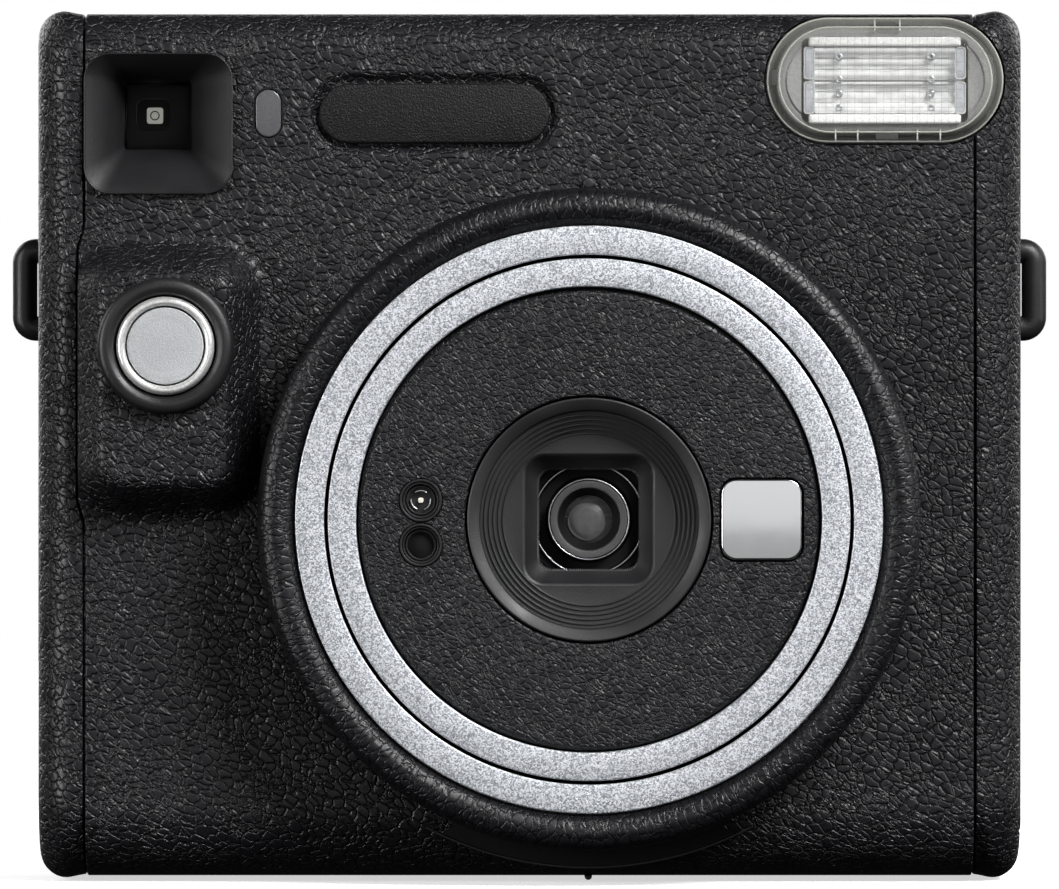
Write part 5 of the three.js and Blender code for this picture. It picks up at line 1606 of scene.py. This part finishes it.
def smoothing_group():
    """Geometry nodes that shade smooth, and keep edges sharper than 32 degrees."""
    group = bpy.data.node_groups.new("smooth_by_angle", "GeometryNodeTree")
    group.interface.new_socket("Geometry", in_out="INPUT", socket_type="NodeSocketGeometry")
    group.interface.new_socket("Geometry", in_out="OUTPUT", socket_type="NodeSocketGeometry")
    add = group.nodes.new
    source, result = add("NodeGroupInput"), add("NodeGroupOutput")
    faces, edges = add("GeometryNodeSetShadeSmooth"), add("GeometryNodeSetShadeSmooth")
    angle, compare = add("GeometryNodeInputMeshEdgeAngle"), add("FunctionNodeCompare")
    edges.domain = "EDGE"
    edges.inputs["Shade Smooth"].default_value = False
    compare.operation = "GREATER_THAN"
    compare.inputs["B"].default_value = SHARP
    link = group.links.new
    link(source.outputs[0], faces.inputs["Geometry"])
    link(faces.outputs[0], edges.inputs["Geometry"])
    link(angle.outputs["Unsigned Angle"], compare.inputs["A"])
    link(compare.outputs[0], edges.inputs["Selection"])
    link(edges.outputs[0], result.inputs[0])
    return group


KEPT_NODES = {
    "inner_black": ["chassis", "gear_bracket", "battery_holder", "shutter_housing"],
    "steel": [
        "hinge_pin", "roller_front", "roller_rear", "pack_spring", "film_pick", "button_spring",
        "drive_motor", "shutter_blade",
    ],
    "dark_glass": ["viewfinder_rear_lens", "counter_window"],
    "flash_glass": ["flash_tube"],
    "satin_black": ["exit_flap"],
    "board_green": ["circuit_board", "shutter_switch"],
    "cell_sleeve": ["battery_lower", "battery_upper", "flash_capacitor"],
    "white_plastic": ["idler_gear", "motor_pinion", "counter_dial"],
}
LOOKS_OF_KEPT = {"flash_tube": "clear_edge"}


def kept_nodes():
    """Materials, rounded edges and smooth shading for the CAD nodes that show as they are."""
    group = smoothing_group()
    for slot, names in KEPT_NODES.items():
        for name in names:
            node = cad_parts[name]
            for index in range(max(1, len(node.material_slots))):
                if not node.material_slots:
                    node.data.materials.append(None)
                node.material_slots[index].link = "OBJECT"
                node.material_slots[index].material = MATERIALS[LOOKS_OF_KEPT.get(name, slot)]
            bevel = node.modifiers.new("edges", "BEVEL")
            bevel.width = 0.15 * MM
            bevel.segments = 2
            bevel.limit_method = "ANGLE"
            bevel.angle_limit = math.radians(38)
            shade = node.modifiers.new("shade", "NODES")
            shade.node_group = group


# ---------------------------------------------------------------- stage

STUDIO_CENTRE = (0, 0, 0.06)
STUDIO_LIGHTS = [  # name, place and size in metres, watts
    ("front_softbox", (0.15, -2.2, 0.42), (1.9, 0.95), 3.9),
    ("low_card", (0.1, -2.2, -0.24), (1.6, 0.36), 0.6),
    ("key", (0.56, -0.68, 0.72), (0.4, 0.4), 21),
    ("right_fill", (1.5, -0.4, 0.45), (0.8, 0.8), 7),
    ("left_strip", (-1.15, -0.72, 0.2), (0.35, 0.9), 13),
    ("rear_softbox", (-0.3, 2.2, 0.5), (1.9, 0.95), 16),
    ("rear_left", (-1.2, 1.3, 0.7), (0.9, 0.9), 9),
    ("rear_right", (1.2, 1.5, 0.7), (0.9, 0.9), 9),
]
SURROUND = [(0.36, 0.01), (0.46, 0.09), (0.58, 0.12), (0.66, 0.03)]  # (height share, grey)
SURROUND_BOTTOM = 0.015

def area_light(name, place, size, watts):
    """A rectangular light, placed in metres, that faces the middle of the camera body."""
    data = bpy.data.lights.new(name, "AREA")
    data.shape = "RECTANGLE"
    data.size, data.size_y = size
    data.energy = watts
    light = bpy.data.objects.new(name, data)
    bpy.context.scene.collection.objects.link(light)
    light.location = place
    direction = mathutils.Vector(STUDIO_CENTRE) - mathutils.Vector(place)
    light.rotation_mode = "QUATERNION"
    light.rotation_quaternion = direction.to_track_quat("-Z", "Y")


def surround():
    """The world: white to the camera, but for lighting a dim room that is palest at mid height."""
    world = bpy.data.worlds.new("studio")
    bpy.context.scene.world = world
    world.use_nodes = True
    tree = world.node_tree
    tree.nodes.clear()
    add, link = tree.nodes.new, tree.links.new
    place = add("ShaderNodeTexCoord").outputs["Generated"]
    height = add("ShaderNodeSeparateXYZ")
    link(place, height.inputs[0])
    share = add("ShaderNodeMapRange")
    share.inputs["From Min"].default_value = -1
    link(height.outputs["Z"], share.inputs[0])
    ramp = add("ShaderNodeValToRGB")
    link(share.outputs[0], ramp.inputs[0])
    stops = ramp.color_ramp.elements
    stops.remove(stops[0])
    stops[0].position = 0
    stops[0].color = (SURROUND_BOTTOM, SURROUND_BOTTOM, SURROUND_BOTTOM, 1)
    for position, grey in SURROUND:
        stops.new(position).color = (grey, grey, grey, 1)
    lighting, backdrop = add("ShaderNodeBackground"), add("ShaderNodeBackground")
    link(ramp.outputs[0], lighting.inputs["Color"])
    backdrop.inputs["Color"].default_value = (1, 1, 1, 1)
    mix, ray, out = add("ShaderNodeMixShader"), add("ShaderNodeLightPath"), add("ShaderNodeOutputWorld")
    link(ray.outputs["Is Camera Ray"], mix.inputs[0])
    link(lighting.outputs[0], mix.inputs[1])
    link(backdrop.outputs[0], mix.inputs[2])
    link(mix.outputs[0], out.inputs[0])


def pale_floor():
    """A glowing white floor that the camera sees, but that throws nothing onto the casing."""
    white = {"Emission_Color": (1, 1, 1, 1), "Emission_Strength": 0.6}
    recipe = Recipe("floor", (0.93, 0.93, 0.93), 0.8, **white)
    floor = plate(0, 0, 3000, 3000, 200, -0.3, -4, 0, axis="z")
    floor.name = "floor"
    floor.data.materials.append(recipe.material)
    floor.visible_glossy = False
    floor.visible_diffuse = False
    floor.visible_shadow = False


def studio():
    """A dim room with softboxes in front and behind, a key from the upper right and a strip at the left."""
    bpy.context.scene.view_settings.view_transform = "Standard"
    surround()
    for light in STUDIO_LIGHTS:
        area_light(*light)
    pale_floor()


CAMERA_DISTANCE = 1.5
CAMERA_HEIGHT = 0.0592
FRAME_WIDTH = 0.1452  # what the frame spans at the origin


def camera():
    data = bpy.data.cameras.new("camera")
    made = bpy.data.objects.new("camera", data)
    bpy.context.scene.collection.objects.link(made)
    made.location = (0, -CAMERA_DISTANCE, CAMERA_HEIGHT)
    made.rotation_euler = (math.radians(90), 0, 0)
    data.sensor_width = 36
    data.lens = data.sensor_width * CAMERA_DISTANCE / FRAME_WIDTH
    data.clip_start, data.clip_end = 0.05, 20
    bpy.context.scene.camera = made


make_materials()
front_shell()
dial_base()
seam_tongues()
end_covers()
battery_hatch()
rear_shell()
film_door()
door_latch()
case_screws()
strap_lugs()
small_marks()
lens_dial()
lens_barrel()
lens_face()
port_wells()
light_meter()
flash_meter()
lens_hood()
hood_serration()
lens_seat()
lens_retainer()
lens_elements()
selfie_mirror()
shutter_button()
finder_frame()
finder_optics()
eyepiece()
name_plate()
sensor_window()
flash_cover()
flash_housing()
flash_reflector()
kept_nodes()
camera()
studio()
